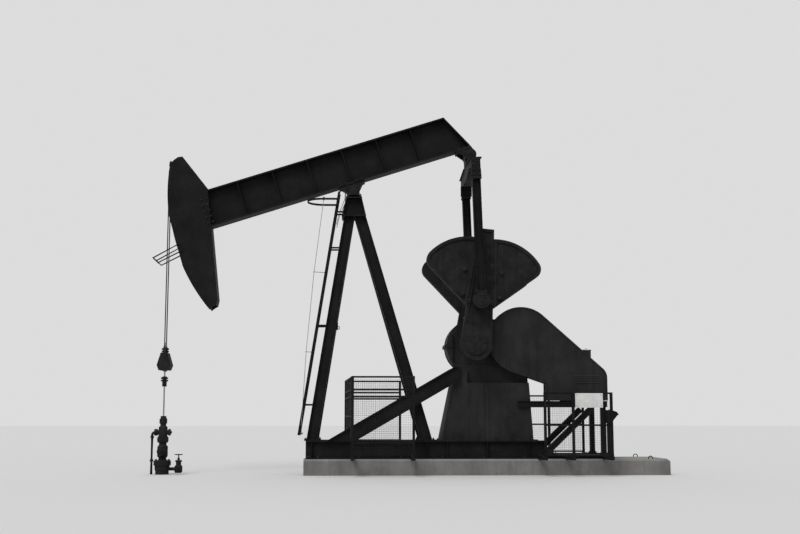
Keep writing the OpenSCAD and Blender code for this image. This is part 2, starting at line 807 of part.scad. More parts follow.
module reducer_cover() {
    color(dark_grey) difference() {
        union() {
            intersection() {
                slab(-gear_w / 2, gear_w / 2) gear_shape(0);
                translate([0, -1000, shaft_z]) cube([8000, 2000, 2000]);
            }
            translate([shaft_x - gear_r - 40, -gear_w / 2 - 20, shaft_z])
                cube([gear_r + drive_dx + 560, gear_w + 40, 40]);
            translate([shaft_x, 0, shaft_z]) intersection() {
                bar_y(240, -gear_w / 2 - 100, gear_w / 2 + 100);
                translate([-500, -1000, 0]) cube([1000, 2000, 1000]);
            }
            translate([shaft_x - 180, -200, shaft_z + gear_r - 60]) cube([260, 400, 130]);
            translate([drive[0], 0, drive[1]]) bar_y(70, -guard_out + guard_w, gear_w / 2 + 60);
        }
        translate([shaft_x, 0, shaft_z]) bar_y(crank_shaft_r + run_gap, -1000, 1000);
    }
}

module level_pipe() {
    x = shaft_x - gear_r + 150;
    y = -gear_w / 2 - 60;
    color(steel) {
        translate([x, y, shaft_z - 400]) cylinder(r = 17, h = 670);
        for (z = [shaft_z - 300, shaft_z + 150]) {
            translate([x, 0, z]) bar_y(26, y - 26, -gear_w / 2 - gap);
        }
    }
}

module brake_drum() {
    color(dark_grey) translate([drive[0], 0, drive[1]]) difference() {
        bar_y(brake_r, gear_w / 2 + 60, gear_w / 2 + 190);
        bar_y(brake_r - 30, gear_w / 2 + 90, gear_w / 2 + 200);
    }
}

module guard_outline(extra) {
    d = motor - drive;
    len = norm(d);
    u = d / len;
    k = (guard_big_r - guard_small_r) / len;
    n_up = [-u[1] * sqrt(1 - k * k) + u[0] * k, u[0] * sqrt(1 - k * k) + u[1] * k];
    n_low = [u[1] * sqrt(1 - k * k) + u[0] * k, -u[0] * sqrt(1 - k * k) + u[1] * k];
    translate(drive) circle(r = guard_big_r + extra, $fn = 96);
    translate(motor) circle(r = guard_small_r + extra);
    polygon([drive + n_up * (guard_big_r + extra), motor + n_up * (guard_small_r + extra),
        motor + n_low * (guard_small_r + extra), drive + n_low * (guard_big_r + extra)]);
}

module belt_guard() {
    color(dark_grey) {
        slab(-guard_out, -guard_out + guard_w) guard_outline(-12);
        slab(-guard_out, -guard_out + 24) guard_outline(0);
        slab(-guard_out + guard_w - 24, -guard_out + guard_w) guard_outline(0);
        translate([motor[0] - 90, -guard_out + 20, motor[1] + guard_small_r - 150])
            cube([200, guard_w - 40, 330]);
        for (x = [motor[0] - 250, motor[0] + 150]) {
            translate([x, -guard_out + 60, platform_z]) cube([70, guard_w - 120, 400]);
        }
    }
}

// Back of the pedestal at a height
function pedestal_back(z) = pedestal_x + pedestal_l
    - (pedestal_x + pedestal_l - drive[0] - 160) * (z - skid_top) / (pedestal_z - skid_top);

module motor_platform() {
    x0 = pedestal_back(platform_z - platform_d) + gap;
    y = pedestal_w / 2 + 45 + gap;
    color(steel) {
        for (s = [-1, 1]) {
            translate([x0 - 320, s * y, platform_z - platform_d / 2]) rotate([0, 90, 0])
                linear_extrude(platform_rear - x0 + 320) i_section(platform_d, 90, 12, 10);
        }
        for (x = [x0, motor[0] - 330, motor[0] + 180, platform_rear - 90]) {
            translate([x, -y, platform_z - platform_d + 12]) cube([90, 2 * y, platform_d - 12]);
        }
    }
}

module platform_struts() {
    y = pedestal_w / 2 + 45;
    low = conc_h + skid_low_h;
    rise = platform_z - low;
    color(steel) {
        for (s = [-1, 1]) {
            intersection() {
                member([prop_x - rise, s * y, low - rise * tan(prop_a)],
                    [prop_x + 2 * rise, s * y, low + 2 * rise * tan(prop_a)])
                    i_section(300, 160, 18, 14);
                translate([skid_deep_end, -2000, conc_h + skid_low_h])
                    cube([2000, 4000, platform_z - platform_d - conc_h - skid_low_h]);
            }
            translate([platform_rear - 140, s * y - 45, conc_h + skid_low_h])
                cube([90, 90, platform_z - platform_d - conc_h - skid_low_h]);
        }
    }
}

module electric_motor() {
    back = -guard_out + guard_w;
    front = back + 90;
    color(grey) translate([motor[0], 0, motor[1]]) {
        bar_y(42, back, front + 20);
        bar_y(motor_r, front, front + motor_l);
        translate([-motor_r, front + 90, platform_z - motor[1]])
            cube([2 * motor_r, motor_l - 180, motor[1] - platform_z - motor_r * 0.4]);
    }
}

module fence_panel(x0, x1, top, rails, posts) {
    for (x = posts) {
        translate([x - fence_post / 2, -fence_post / 2, fence_low_z]) cube([fence_post, fence_post, top - fence_low_z]);
    }
    for (z = rails) {
        translate([x0, -fence_rail / 2, z - fence_rail]) cube([x1 - x0, fence_rail, fence_rail]);
    }
}

module fence_front(x0) {
    color(steel) fence_panel(x0, x0 + fence_front_l, fence_front_z,
        [fence_front_z, fence_front_z - fence_rail_2, fence_front_z - fence_rail_3,
            fence_low_z + fence_rail_low], [x0, x0 + fence_front_l]);
}

module fence_front_near() {
    translate([0, -fence_y, 0]) fence_front(fence_front_x);
}

module fence_front_far() {
    translate([0, fence_y, 0]) fence_front(fence_front_x - fence_shift);
}

module fence_front_end() {
    y = fence_y - fence_post / 2;
    slant = fence_rail * fence_shift / (4 * y) + gap;
    color(steel) for (drop = [0, fence_rail_2, fence_rail_3, 2 * fence_rail_3]) {
        z = fence_front_z - drop - fence_rail / 2;
        member([fence_front_x, slant - y, z], [fence_front_x - fence_shift, y - slant, z])
            square(fence_rail, center = true);
    }
}

module fence_rear() {
    x1 = fence_rear_x + fence_rear_l;
    step = (fence_rear_z - fence_low_z) / 2;
    color(steel) fence_panel(fence_rear_x, x1, fence_rear_z,
        [fence_rear_z, fence_low_z + step, fence_low_z + fence_rail],
        [fence_rear_x, fence_rear_x + fence_rear_mid, x1]);
}

module fence_rear_near() {
    translate([0, -fence_y, 0]) fence_rear();
}

module fence_rear_far() {
    translate([0, fence_y, 0]) fence_rear();
}

module fence_outriggers() {
    y0 = skid_y + skid_flange / 2;
    color(steel) for (s = [-1, 1]) {
        front = fence_front_x - (s > 0 ? fence_shift : 0);
        for (x = [front, front + fence_front_l, fence_rear_x, fence_rear_x + fence_rear_mid,
            fence_rear_x + fence_rear_l]) {
            translate([x - 40, s > 0 ? y0 : -fence_y - 50, conc_h]) cube([80, fence_y + 50 - y0, fence_low_z - conc_h]);
        }
    }
}

module sign_plate() {
    color([0.85, 0.85, 0.83]) translate([sign_x, -fence_y - fence_rail / 2 - gap - 6, fence_rear_z - fence_rail / 2 - sign_h])
        cube([sign_l, 6, sign_h]);
}

function ladder_x(z) = front_leg_at(z)[0] - front_leg_d / 2 - ladder_gap;

module ladder() {
    x0 = ladder_x(ladder_foot_z);
    x1 = ladder_x(ladder_top_z);
    n = floor((ladder_top_z - ladder_foot_z) / rung_pitch);
    color(steel) {
        for (s = [-1, 1]) {
            member([x0, s * ladder_w / 2, ladder_foot_z], [x1, s * ladder_w / 2, ladder_top_z]) square([60, 14], center = true);
        }
        for (i = [1 : n - 1]) {
            z = ladder_foot_z + i * rung_pitch;
            translate([ladder_x(z), 0, z]) bar_y(rung_r, -ladder_w / 2, ladder_w / 2);
        }
        for (z = brace_z) {
            leg = front_leg_at(z);
            on_leg = leg[1] - leg_flange / 2 < ladder_w / 2;
            end = on_leg ? leg[0] - front_leg_d / 2 / cos(front_lean) - 20 * tan(front_lean) - gap
                : leg[0] - brace_w / 2 - gap;
            for (s = [-1, 1]) {
                translate([ladder_x(z), s * (ladder_w / 2 - 14) - 8, z - 20])
                    cube([end - ladder_x(z), 16, 40]);
            }
        }
    }
}

module ladder_hoop() {
    z = ladder_top_z - 60;
    x = ladder_x(ladder_top_z - 35);
    r = ladder_w / 2 + 130;
    color(steel) {
        for (s = [-1, 1]) {
            y0 = ladder_w / 2 + 7 + gap;
            translate([x - 10, s > 0 ? y0 : -r, z]) cube([20, r - y0, 50]);
        }
        difference() {
            translate([x - hoop_d + r, 0, z]) cylinder(r = r, h = 50);
            translate([x - hoop_d + r, 0, z - 1]) cylinder(r = r - 10, h = 52);
            translate([x - hoop_d + r, -r - 1, z - 1]) cube([2 * r, 2 * r + 2, 52]);
        }
        for (s = [-1, 1]) {
            translate([x - hoop_d + r - 1, s * (r - 5) - 5, z]) cube([hoop_d - r + 11, 10, 50]);
        }
    }
}

module casing_head() {
    color(dark_grey) translate([well_x, 0, 0]) {
        cylinder(r = casing_r, h = 230);
        translate([0, 0, 200]) cylinder(r = casing_r + 45, h = 70);
    }
}

module tubing_valve() {
    color(dark_grey) translate([well_x, 0, 270]) difference() {
        union() {
            cylinder(r = casing_r + 45, h = 60);
            cylinder(r = 110, h = 640);
            translate([0, 0, 250]) rotate([0, 90, 0]) cylinder(r = 80, h = 240, center = true);
            translate([0, 0, 580]) cylinder(r = 130, h = 60);
        }
        translate([0, 0, -1]) cylinder(d = rod_d + 12, h = 700);
    }
}

module stuffing_box() {
    color(dark_grey) translate([well_x, 0, 910]) difference() {
        union() {
            cylinder(r = 105, h = 300);
            cylinder(r = 75, h = stuffing_z - 910);
        }
        translate([0, 0, -1]) cylinder(d = rod_d + 2 * run_gap, h = 600);
    }
}

module flow_line() {
    color(dark_grey) translate([well_x - 240, 0, 0]) {
        cylinder(r = 30, h = 1054);
        translate([0, 0, 780]) rotate([0, 90, 0]) cylinder(r = 28, h = 240 - 110 - gap);
    }
}

module casing_valve() {
    color(dark_grey) translate([well_x, 0, 100]) {
        translate([casing_r + gap, 0, 0]) rotate([0, 90, 0]) cylinder(r = 30, h = 260);
        translate([casing_r + 300, 0, 0]) rotate([0, 90, 0]) cylinder(r = 80, h = 160, center = true);
        translate([casing_r + 300, 0, 0]) cylinder(r = 25, h = 220);
    }
}

module carrier_bar() {
    color(dark_grey) translate([well_x, 0, carrier_top_z - carrier_h]) difference() {
        rotate([90, 0, 0]) translate([0, 0, -rope_gauge / 2 - 60]) linear_extrude(rope_gauge + 120)
            polygon([[-80, carrier_h], [80, carrier_h], [170, 120], [125, 0], [-125, 0], [-170, 120]]);
        translate([0, 0, -1]) cylinder(d = rod_d + 0.4, h = carrier_h + 2);
    }
}

module rod_clamp() {
    color(dark_grey) translate([well_x, 0, carrier_top_z]) difference() {
        union() {
            cylinder(r = 62, h = 130);
            translate([0, 0, -carrier_h - 390]) cylinder(r = 55, h = 240);
        }
        translate([0, 0, -1000]) cylinder(d = rod_d + 2 * run_gap, h = 2000);
    }
}

module polished_rod() {
    color(bright) translate([well_x, 0, rod_low_z])
        cylinder(d = rod_d, h = carrier_top_z + rod_over - rod_low_z);
}

module bridle_strands() {
    z0 = carrier_top_z - 60;
    color(bright) for (s = [-1, 1]) {
        translate([well_x, s * rope_gauge / 2, z0 + 60]) cylinder(d = rope_d - 0.6, h = pivot_z - z0 - 60, $fn = 24);
    }
}

concrete_base();
skid_rails();
skid_crossbeams();
front_legs();
rear_legs();
leg_bracing();
post_head();
center_bearing();
ladder();
ladder_hoop();
pedestal();
pedestal_struts();
gear_reducer();
reducer_cover();
level_pipe();
brake_drum();
belt_guard();
motor_platform();
platform_struts();
electric_motor();
fence_front_near();
fence_front_far();
fence_front_end();
fence_rear_near();
fence_rear_far();
fence_outriggers();
sign_plate();
casing_head();
tubing_valve();
stuffing_box();
flow_line();
casing_valve();
walking_beam();
beam_saddle();
horsehead();
bridle_wrap();
rope_guard();
tail_bracket();
equalizer();
pitman_arms();
wrist_bearings();
crank_shaft();
crank_near();
crank_far();
counterweights_near();
counterweights_far();
carrier_bar();
rod_clamp();
polished_rod();
bridle_strands();
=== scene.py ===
import json
import math

import bmesh
import bpy
from mathutils import Matrix, Vector


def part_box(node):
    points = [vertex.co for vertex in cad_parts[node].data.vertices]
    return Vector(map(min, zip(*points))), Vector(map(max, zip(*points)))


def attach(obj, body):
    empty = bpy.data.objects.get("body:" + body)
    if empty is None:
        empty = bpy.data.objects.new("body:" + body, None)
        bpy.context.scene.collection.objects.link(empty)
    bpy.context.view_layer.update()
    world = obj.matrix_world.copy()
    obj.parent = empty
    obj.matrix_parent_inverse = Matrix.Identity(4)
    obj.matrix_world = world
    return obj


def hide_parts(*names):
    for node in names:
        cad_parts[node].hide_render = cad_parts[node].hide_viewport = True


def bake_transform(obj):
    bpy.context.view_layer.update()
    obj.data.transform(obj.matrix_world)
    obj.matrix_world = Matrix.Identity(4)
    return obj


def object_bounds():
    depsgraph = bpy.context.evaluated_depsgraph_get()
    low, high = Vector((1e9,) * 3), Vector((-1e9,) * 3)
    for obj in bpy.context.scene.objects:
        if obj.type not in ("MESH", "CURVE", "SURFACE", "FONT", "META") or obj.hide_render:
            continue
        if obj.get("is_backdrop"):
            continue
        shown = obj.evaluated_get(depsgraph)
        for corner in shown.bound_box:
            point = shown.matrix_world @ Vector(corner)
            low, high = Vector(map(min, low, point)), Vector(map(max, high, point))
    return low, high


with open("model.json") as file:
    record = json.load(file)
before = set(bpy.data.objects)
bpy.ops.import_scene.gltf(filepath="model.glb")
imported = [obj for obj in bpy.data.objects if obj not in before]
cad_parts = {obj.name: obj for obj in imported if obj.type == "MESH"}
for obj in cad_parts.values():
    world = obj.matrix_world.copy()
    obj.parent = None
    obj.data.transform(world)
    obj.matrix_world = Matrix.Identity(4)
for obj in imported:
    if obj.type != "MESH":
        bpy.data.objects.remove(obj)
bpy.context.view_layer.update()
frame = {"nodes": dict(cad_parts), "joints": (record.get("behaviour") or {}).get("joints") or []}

# Camera and studio
# A 50 mm lens stands on the near side, 27.3 m from the machine's middle and 1.36 m up, and looks slightly up.
# The floor and the backdrop are one pale grey, and a wide soft lamp stands for the overcast sky.
scene = bpy.context.scene
scene.view_settings.view_transform = "Standard"

camera = bpy.data.objects.new("camera", bpy.data.cameras.new("camera"))
camera.data.sensor_width = 36.0
camera.data.lens = 50.0
camera.data.clip_end = 400.0
camera.location = (0.1, -27.3, 1.36)
camera.rotation_euler = (math.radians(90 + 7.7), 0.0, math.radians(-2.2))
scene.collection.objects.link(camera)
scene.camera = camera

floor_half = 150.0
floor_shape = bpy.data.meshes.new("studio_floor")
floor_shape.from_pydata(
    [(-floor_half, -floor_half, 0), (floor_half, -floor_half, 0),
     (floor_half, floor_half, 0), (-floor_half, floor_half, 0)], [], [(0, 1, 2, 3)])
floor = bpy.data.objects.new("studio_floor", floor_shape)
scene.collection.objects.link(floor)
floor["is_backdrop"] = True

floor_paint = bpy.data.materials.new("studio_floor")
floor_paint.use_nodes = True
floor_shader = floor_paint.node_tree.nodes["Principled BSDF"]
floor_shader.inputs["Base Color"].default_value = (0.62, 0.62, 0.62, 1)
floor_shader.inputs["Roughness"].default_value = 0.95
floor_shape.materials.append(floor_paint)

sky = bpy.data.worlds.new("studio")
scene.world = sky
sky.use_nodes = True
sky_nodes = sky.node_tree.nodes
lamp_light = sky_nodes["Background"]
seen_light = sky_nodes.new("ShaderNodeBackground")
for light, tone, strength in ((lamp_light, 0.9, 0.75), (seen_light, 0.72, 1.0)):
    light.inputs["Color"].default_value = (tone, tone, tone, 1)
    light.inputs["Strength"].default_value = strength
ray = sky_nodes.new("ShaderNodeLightPath")
seen = sky_nodes.new("ShaderNodeMath")
seen.operation = "MAXIMUM"
choose = sky_nodes.new("ShaderNodeMixShader")
for source, target in ((ray.outputs["Is Camera Ray"], seen.inputs[0]),
                       (ray.outputs["Is Glossy Ray"], seen.inputs[1]),
                       (seen.outputs[0], choose.inputs["Fac"]),
                       (lamp_light.outputs[0], choose.inputs[1]),
                       (seen_light.outputs[0], choose.inputs[2]),
                       (choose.outputs[0], sky_nodes["World Output"].inputs["Surface"])):
    sky.node_tree.links.new(source, target)

sun = bpy.data.objects.new("soft_sun", bpy.data.lights.new("soft_sun", "SUN"))
sun.data.energy = 1.6
sun.data.angle = math.radians(30)
sun.rotation_euler = (math.radians(38), math.radians(-24), 0)
scene.collection.objects.link(sun)


# Concrete base
# A long block of concrete cast in a form on the ground, its top edges chamfered.
# Rain has darkened its sides in runs and dust lies on its top. Lifting loops stand at its edges.
def weathered(name, deep, pale, patch, rough, metal=0.0, shine=0.15, runs=0.5, dust=0.3, grain=80.0,
              relief=0.004, dust_tone=(0.2, 0.2, 0.2)):
    """A finish with broad patches, runs down the sides, dust on what faces up, and a fine grain."""
    made = bpy.data.materials.new(name)
    made.use_nodes = True
    nodes, links = made.node_tree.nodes, made.node_tree.links
    shader = nodes["Principled BSDF"]

    def join(node, sockets):
        """Gives each socket of a node its value or its link."""
        for key, value in sockets.items():
            if isinstance(value, bpy.types.NodeSocket):
                links.new(value, node.inputs[key])
            else:
                node.inputs[key].default_value = (*value, 1) if key in (6, 7) else value

    def add(kind, output, sockets, **settings):
        node = nodes.new("ShaderNode" + kind)
        for key, value in settings.items():
            setattr(node, key, value)
        join(node, sockets)
        return node.outputs[output]

    place = add("TexCoord", "Object", {})

    def cloud(scale, stretch, detail):
        stretched = add("Mapping", 0, {"Vector": place, "Scale": stretch})
        return add("TexNoise", "Fac", {"Vector": stretched, "Scale": scale, "Detail": detail,
                                       "Roughness": 0.62})

    def ramp(value, low, high, least, most):
        return add("MapRange", "Result", {"Value": value, "From Min": low, "From Max": high,
                                          "To Min": least, "To Max": most})

    def mixed(share, a, b):
        return add("Mix", 2, {0: share, 6: a, 7: b}, data_type="RGBA")

    broad = cloud(1 / patch, (1, 1, 1), 6.0)
    fine = cloud(grain, (1, 1, 1), 4.0)
    run = cloud(3.0, (3.0, 3.0, 0.25), 5.0)
    level = add("SeparateXYZ", "Z", {0: add("NewGeometry", "Normal", {})})

    colour = mixed(ramp(broad, 0.3, 0.7, 0, 1), deep, pale)
    stain = tuple(0.55 * c for c in deep)
    colour = mixed(ramp(run, 0.5, 0.72, 0, runs), colour, stain)
    colour = mixed(ramp(fine, 0.62, 0.78, 0, 0.45), colour, pale)
    lying = add("Math", 0, {0: ramp(level, 0.35, 0.95, 0, dust), 1: ramp(broad, 0.25, 0.65, 0.4, 1)},
                operation="MULTIPLY")
    join(shader, {"Base Color": mixed(lying, colour, dust_tone), "Metallic": metal,
                  "Roughness": ramp(fine, 0.3, 0.7, rough - 0.08, rough + 0.12),
                  "Specular IOR Level": shine,
                  "Normal": add("Bump", 0, {"Strength": 0.6, "Distance": relief, "Height": fine})})
    return made


def dress(finish, *nodes):
    """Gives the CAD nodes a finish."""
    for node in nodes:
        for place in frame["nodes"][node].material_slots:
            place.material = finish


def piece(name, shape, finish, body, stands_for=None):
    """Makes one object of a mesh under construction, lets it ride on a body, and may replace a node."""
    bmesh.ops.recalc_face_normals(shape, faces=shape.faces)
    mesh = bpy.data.meshes.new(name)
    shape.to_mesh(mesh)
    shape.free()
    mesh.materials.append(finish)
    made = bpy.data.objects.new(name, mesh)
    scene.collection.objects.link(made)
    mesh.shade_smooth()
    mesh.set_sharp_from_angle(angle=math.radians(40))
    if body:
        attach(made, body)
    if stands_for:
        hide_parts(stands_for)
    return made


upright = Matrix.Identity(4)


def facing(axis):
    """The turn that takes the vertical to a direction."""
    return Vector(axis).to_track_quat("Z", "Y").to_matrix().to_4x4()


def on_circle(radius, angle, height=0.0):
    """A point on a level circle."""
    return Vector((radius * math.cos(angle), radius * math.sin(angle), height))


def skin(shape, rings, closed=False):
    """Skins rings with as many corners each, and closes the two ends or joins them."""
    rings = [[shape.verts.new(point) for point in ring] for ring in rings]
    for low, high in zip(rings, rings[1:] + rings[:1] if closed else rings[1:]):
        for k in range(len(low)):
            t = (k + 1) % len(low)
            shape.faces.new((low[k], low[t], high[t], high[k]))
    if not closed:
        shape.faces.new(rings[0])
        shape.faces.new(rings[-1])


def lathe(shape, profile, centre, axis=(0, 0, 1), sides=40, closed=False, turn=upright):
    """Turns a profile of radius and height about an axis."""
    place = turn @ Matrix.Translation(centre) @ facing(axis)
    angles = [2 * math.pi * k / sides for k in range(sides)]
    rings = [[place @ on_circle(radius, a, height) for a in angles] for radius, height in profile]
    skin(shape, rings, closed)


def loop(shape, centre, axis, radius, wire):
    """Adds a closed ring of round bar."""
    angles = [math.pi * k / 5 for k in range(10)]
    profile = [(radius + wire * math.cos(a), wire * math.sin(a)) for a in angles]
    lathe(shape, profile, centre, axis, 32, True)


concrete = weathered("cast_concrete", (0.11, 0.108, 0.104), (0.21, 0.206, 0.2), 0.8, 0.86, shine=0.3,
                     runs=0.45, dust=0.4, grain=45.0, relief=0.01, dust_tone=(0.36, 0.352, 0.34))
dress(concrete, "concrete_base")
bolt_steel = weathered("bolt_steel", (0.01, 0.01, 0.01), (0.035, 0.035, 0.034), 0.1, 0.5, metal=0.3,
                       runs=0.3, dust=0.3, grain=200.0, relief=0.001, dust_tone=(0.06, 0.06, 0.058))
concrete_low, concrete_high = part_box("concrete_base")
loop_in = 0.05
lifting = bmesh.new()
for x in (concrete_low.x + 0.12, 5.32, concrete_high.x - 0.46):
    for y in (concrete_low.y + loop_in, concrete_high.y - loop_in):
        loop(lifting, (x, y, concrete_high.z + 0.012), (0, 1, 0), 0.052, 0.011)
piece("concrete_lifting_loops", lifting, bolt_steel, "root")


# Steel base
# Two deep rolled rails with cross beams between them, painted black, that carry post and gearbox.
# Each rail is held to the concrete by anchor bolts through its lower flange, inside and outside.
black = weathered("black_paint", (0.0035, 0.0035, 0.0037), (0.011, 0.011, 0.0115), 0.5, 0.62, shine=0.1,
                  runs=0.4, dust=0.35, grain=90.0, relief=0.002, dust_tone=(0.04, 0.039, 0.037))
dress(black, "skid_rails", "skid_crossbeams")
up, down = (0, 0, 1), (0, 0, -1)


def bar(shape, start, end, radius, sides=8, turn=upright):
    """Adds a closed round or many-sided bar between two points."""
    start, end = turn @ Vector(start), turn @ Vector(end)
    bmesh.ops.create_cone(
        shape, cap_ends=True, segments=sides, radius1=radius, radius2=radius, depth=(end - start).length,
        matrix=Matrix.Translation((start + end) / 2) @ facing(end - start))


def bolt(shape, seat, out, across, turn=upright):
    """Adds a washer, a hexagon nut and the stud's end, standing out from a seat."""
    seat, out = Vector(seat), Vector(out).normalized() * across
    for low, high, radius, sides in ((-0.1, 0.14, 0.78, 16), (0.14, 0.95, 0.57, 6), (0.95, 1.3, 0.34, 10)):
        bar(shape, seat + out * low, seat + out * high, across * radius, sides, turn)


def bolts(shape, xs, ys, zs, out, across, turn=upright):
    """Adds a bolt at each combination of the places given."""
    for seat in [(x, y, z) for x in xs for y in ys for z in zs]:
        bolt(shape, seat, out, across, turn)


def block(shape, low, high, turn=upright):
    """Adds a closed block between two corners."""
    low, high = Vector(low), Vector(high)
    scale = Matrix.Diagonal((*(high - low), 1))
    bmesh.ops.create_cube(shape, size=1, matrix=turn @ Matrix.Translation((low + high) / 2) @ scale)


rail_low, rail_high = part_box("skid_rails")
concrete_top, skid_top = rail_low.z, rail_high.z
rail_mid, flange_t = 0.58, 0.026
anchor_pitch, anchor_count, web_plate = 0.98, 8, ((3.26, 0.54), (3.59, 0.73))
anchors = bmesh.new()
anchor_x = [rail_low.x + 0.3 + anchor_pitch * k for k in range(anchor_count)]
anchor_y = [side * (rail_mid + off) for side in (-1, 1) for off in (-0.08, 0.08)]
bolts(anchors, anchor_x, anchor_y, [concrete_top + flange_t], up, 0.042)
piece("base_anchor_bolts", anchors, bolt_steel, "root")
stiff = bmesh.new()
stiff_half, stiff_t = 0.05, 0.007
for x in (-0.968, 1.757, 2.25, 3.2, 4.2):
    for y in [side * (rail_mid + off) for side in (-1, 1) for off in (-0.06, 0.06)]:
        block(stiff, (x - stiff_t, y - stiff_half, concrete_top + flange_t),
              (x + stiff_t, y + stiff_half, skid_top - flange_t))
(x0, z0), (x1, z1) = web_plate
block(stiff, (x0, -rail_mid - 0.024, z0), (x1, -rail_mid - 0.006, z1))
piece("rail_stiffeners", stiff, black, "root")


# Post legs
# Four rolled legs lean together under the centre bearing, each welded to a foot plate.
# The foot plates are bolted down to the rails at their corners.
dress(black, "front_legs", "rear_legs", "leg_bracing")
plate_t, foot_y = 0.028, 0.56
feet = bmesh.new()
for foot_x, depth in ((-0.968, 0.25), (1.757, 0.27)):
    foot_ys = [side * foot_y + dy for side in (-1, 1) for dy in (-0.075, 0.075)]
    bolts(feet, (foot_x - 0.62 * depth, foot_x + 0.62 * depth), foot_ys, [skid_top + plate_t], up, 0.03)
piece("foot_bolts", feet, bolt_steel, "root")


# Post head and centre bearing
# A welded saddle on the legs carries two pillow blocks, between which the beam's bearing turns.
# Each block has a split cap with studs and a round end cover, and grease pipes run down to the ladder.
cast = weathered("rough_casting", (0.006, 0.006, 0.006), (0.018, 0.018, 0.0185), 0.25, 0.7, shine=0.12,
                 runs=0.4, dust=0.4, grain=60.0, relief=0.004, dust_tone=(0.05, 0.049, 0.047))
bright = weathered("oiled_steel", (0.22, 0.22, 0.215), (0.45, 0.45, 0.44), 0.05, 0.34, metal=1.0, shine=0.5,
                   runs=0.2, dust=0.1, grain=240.0, relief=0.0004, dust_tone=(0.15, 0.15, 0.145))
dress(cast, "center_bearing")


def plate(shape, corners, depth, turn=upright):
    """Adds a closed plate from its corners, thickened by a vector."""
    depth = Vector(depth)
    skin(shape, [[turn @ (Vector(corner) + k * depth) for corner in corners] for k in (0, 1)])


def prism(shape, outline, y0, y1, turn=upright):
    """Adds a closed plate between two planes across the base, from an outline in x and z."""
    plate(shape, [(x, y0, z) for x, z in outline], (0, y1 - y0, 0), turn)


def pipe(shape, points, radius, sides=8):
    """Adds a closed round pipe along some points."""
    points = [Vector(point) for point in points]
    rings = []
    for k, point in enumerate(points):
        face = facing(points[min(k + 1, len(points) - 1)] - points[max(k - 1, 0)])
        rings.append([point + face @ on_circle(radius, 2 * math.pi * s / sides) for s in range(sides)])
    skin(shape, rings)


def bolt_ring(shape, centre, axis, radius, count, across, turn=upright):
    """Adds bolts on a circle about an axis."""
    centre, face = Vector(centre), facing(axis)
    for k in range(count):
        bolt(shape, centre + face @ on_circle(radius, 2 * math.pi * (k + 0.5) / count), axis, across, turn)


joint_at = {joint["name"]: Vector(joint["pos_m"]) for joint in frame["joints"] if "pos_m" in joint}
pivot = joint_at["beam_rock"]
head_low, head_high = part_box("post_head")
head_plate, head_half, web_t = 0.035, 0.34, 0.015
saddle = bmesh.new()
web_low, web_high = head_low.z + head_plate, head_high.z - head_plate
block(saddle, (-0.3, -head_half, head_low.z), (0.3, head_half, web_low))
block(saddle, (-0.2, -head_half, web_high), (0.2, head_half, head_high.z))
web = [(-0.27, web_low), (0.27, web_low), (0.17, web_high), (-0.17, web_high)]
for y in (-0.17, 0, 0.17):
    prism(saddle, web, y - web_t, y + web_t)
for side in (-1, 1):
    end = [(side * 0.3, web_low), (side * 0.265, web_low), (side * 0.165, web_high), (side * 0.2, web_high)]
    prism(saddle, end, -0.27, 0.27)
piece("post_head_saddle", saddle, black, "root", "post_head")

studs = bmesh.new()
covers = bmesh.new()
bearing_mid, bearing_half, bearing_out = 0.27, 0.07, 0.352
foot_z, cap_x, cap_z, line_y = head_high.z + 0.04, 0.112, pivot.z + 0.07, 0.215
for side in (-1, 1):
    y, out = side * bearing_mid, (0, side, 0)
    block(covers, (-0.185, y - bearing_half, head_high.z), (0.185, y + bearing_half, foot_z))
    lathe(covers, [(0.106, -0.02), (0.106, 0.006), (0.098, 0.014), (0.05, 0.014), (0.04, 0.02)],
          (0, side * bearing_out, pivot.z), out)
    bolt_ring(studs, (0, side * (bearing_out + 0.012), pivot.z), out, 0.082, 6, 0.017)
    for x in (-cap_x, cap_x):
        bar(covers, (x, y, pivot.z - 0.02), (x, y, cap_z), 0.03, 16)
    bolts(studs, (-cap_x, cap_x), [y], [cap_z], up, 0.034)
    bolts(studs, (-0.16, 0.16), [y], [foot_z], up, 0.034)
    bolts(studs, (-0.25, -0.12, 0, 0.12, 0.25), [side * 0.31], [web_low], up, 0.026)
    pipe(studs, [(0, y, pivot.z + 0.12), (0, y, pivot.z + 0.16), (-0.02, y, pivot.z + 0.185),
                 (-0.06, y, pivot.z + 0.19), (-0.19, y, pivot.z + 0.1), (-0.215, y, pivot.z),
                 (-0.225, y, head_high.z - 0.05), (-0.36, side * line_y, head_low.z + 0.1),
                 (-0.43, side * line_y, head_low.z - 0.2)], 0.007)
piece("bearing_caps", covers, cast, "root")
piece("bearing_studs", studs, bolt_steel, "root")


# Ladder, hoop and safety line
# A narrow ladder of flat bar and round rungs stands off the front legs and ends inside a strap hoop.
# A tight wire rope beside it takes the climber's sliding catch, held off the ladder by two guide arms.
dress(black, "ladder")


def ladder_x(z):
    """Middle of the ladder's rails at a height."""
    return -1.318 + 0.853 * (z - 0.81) / 5.46


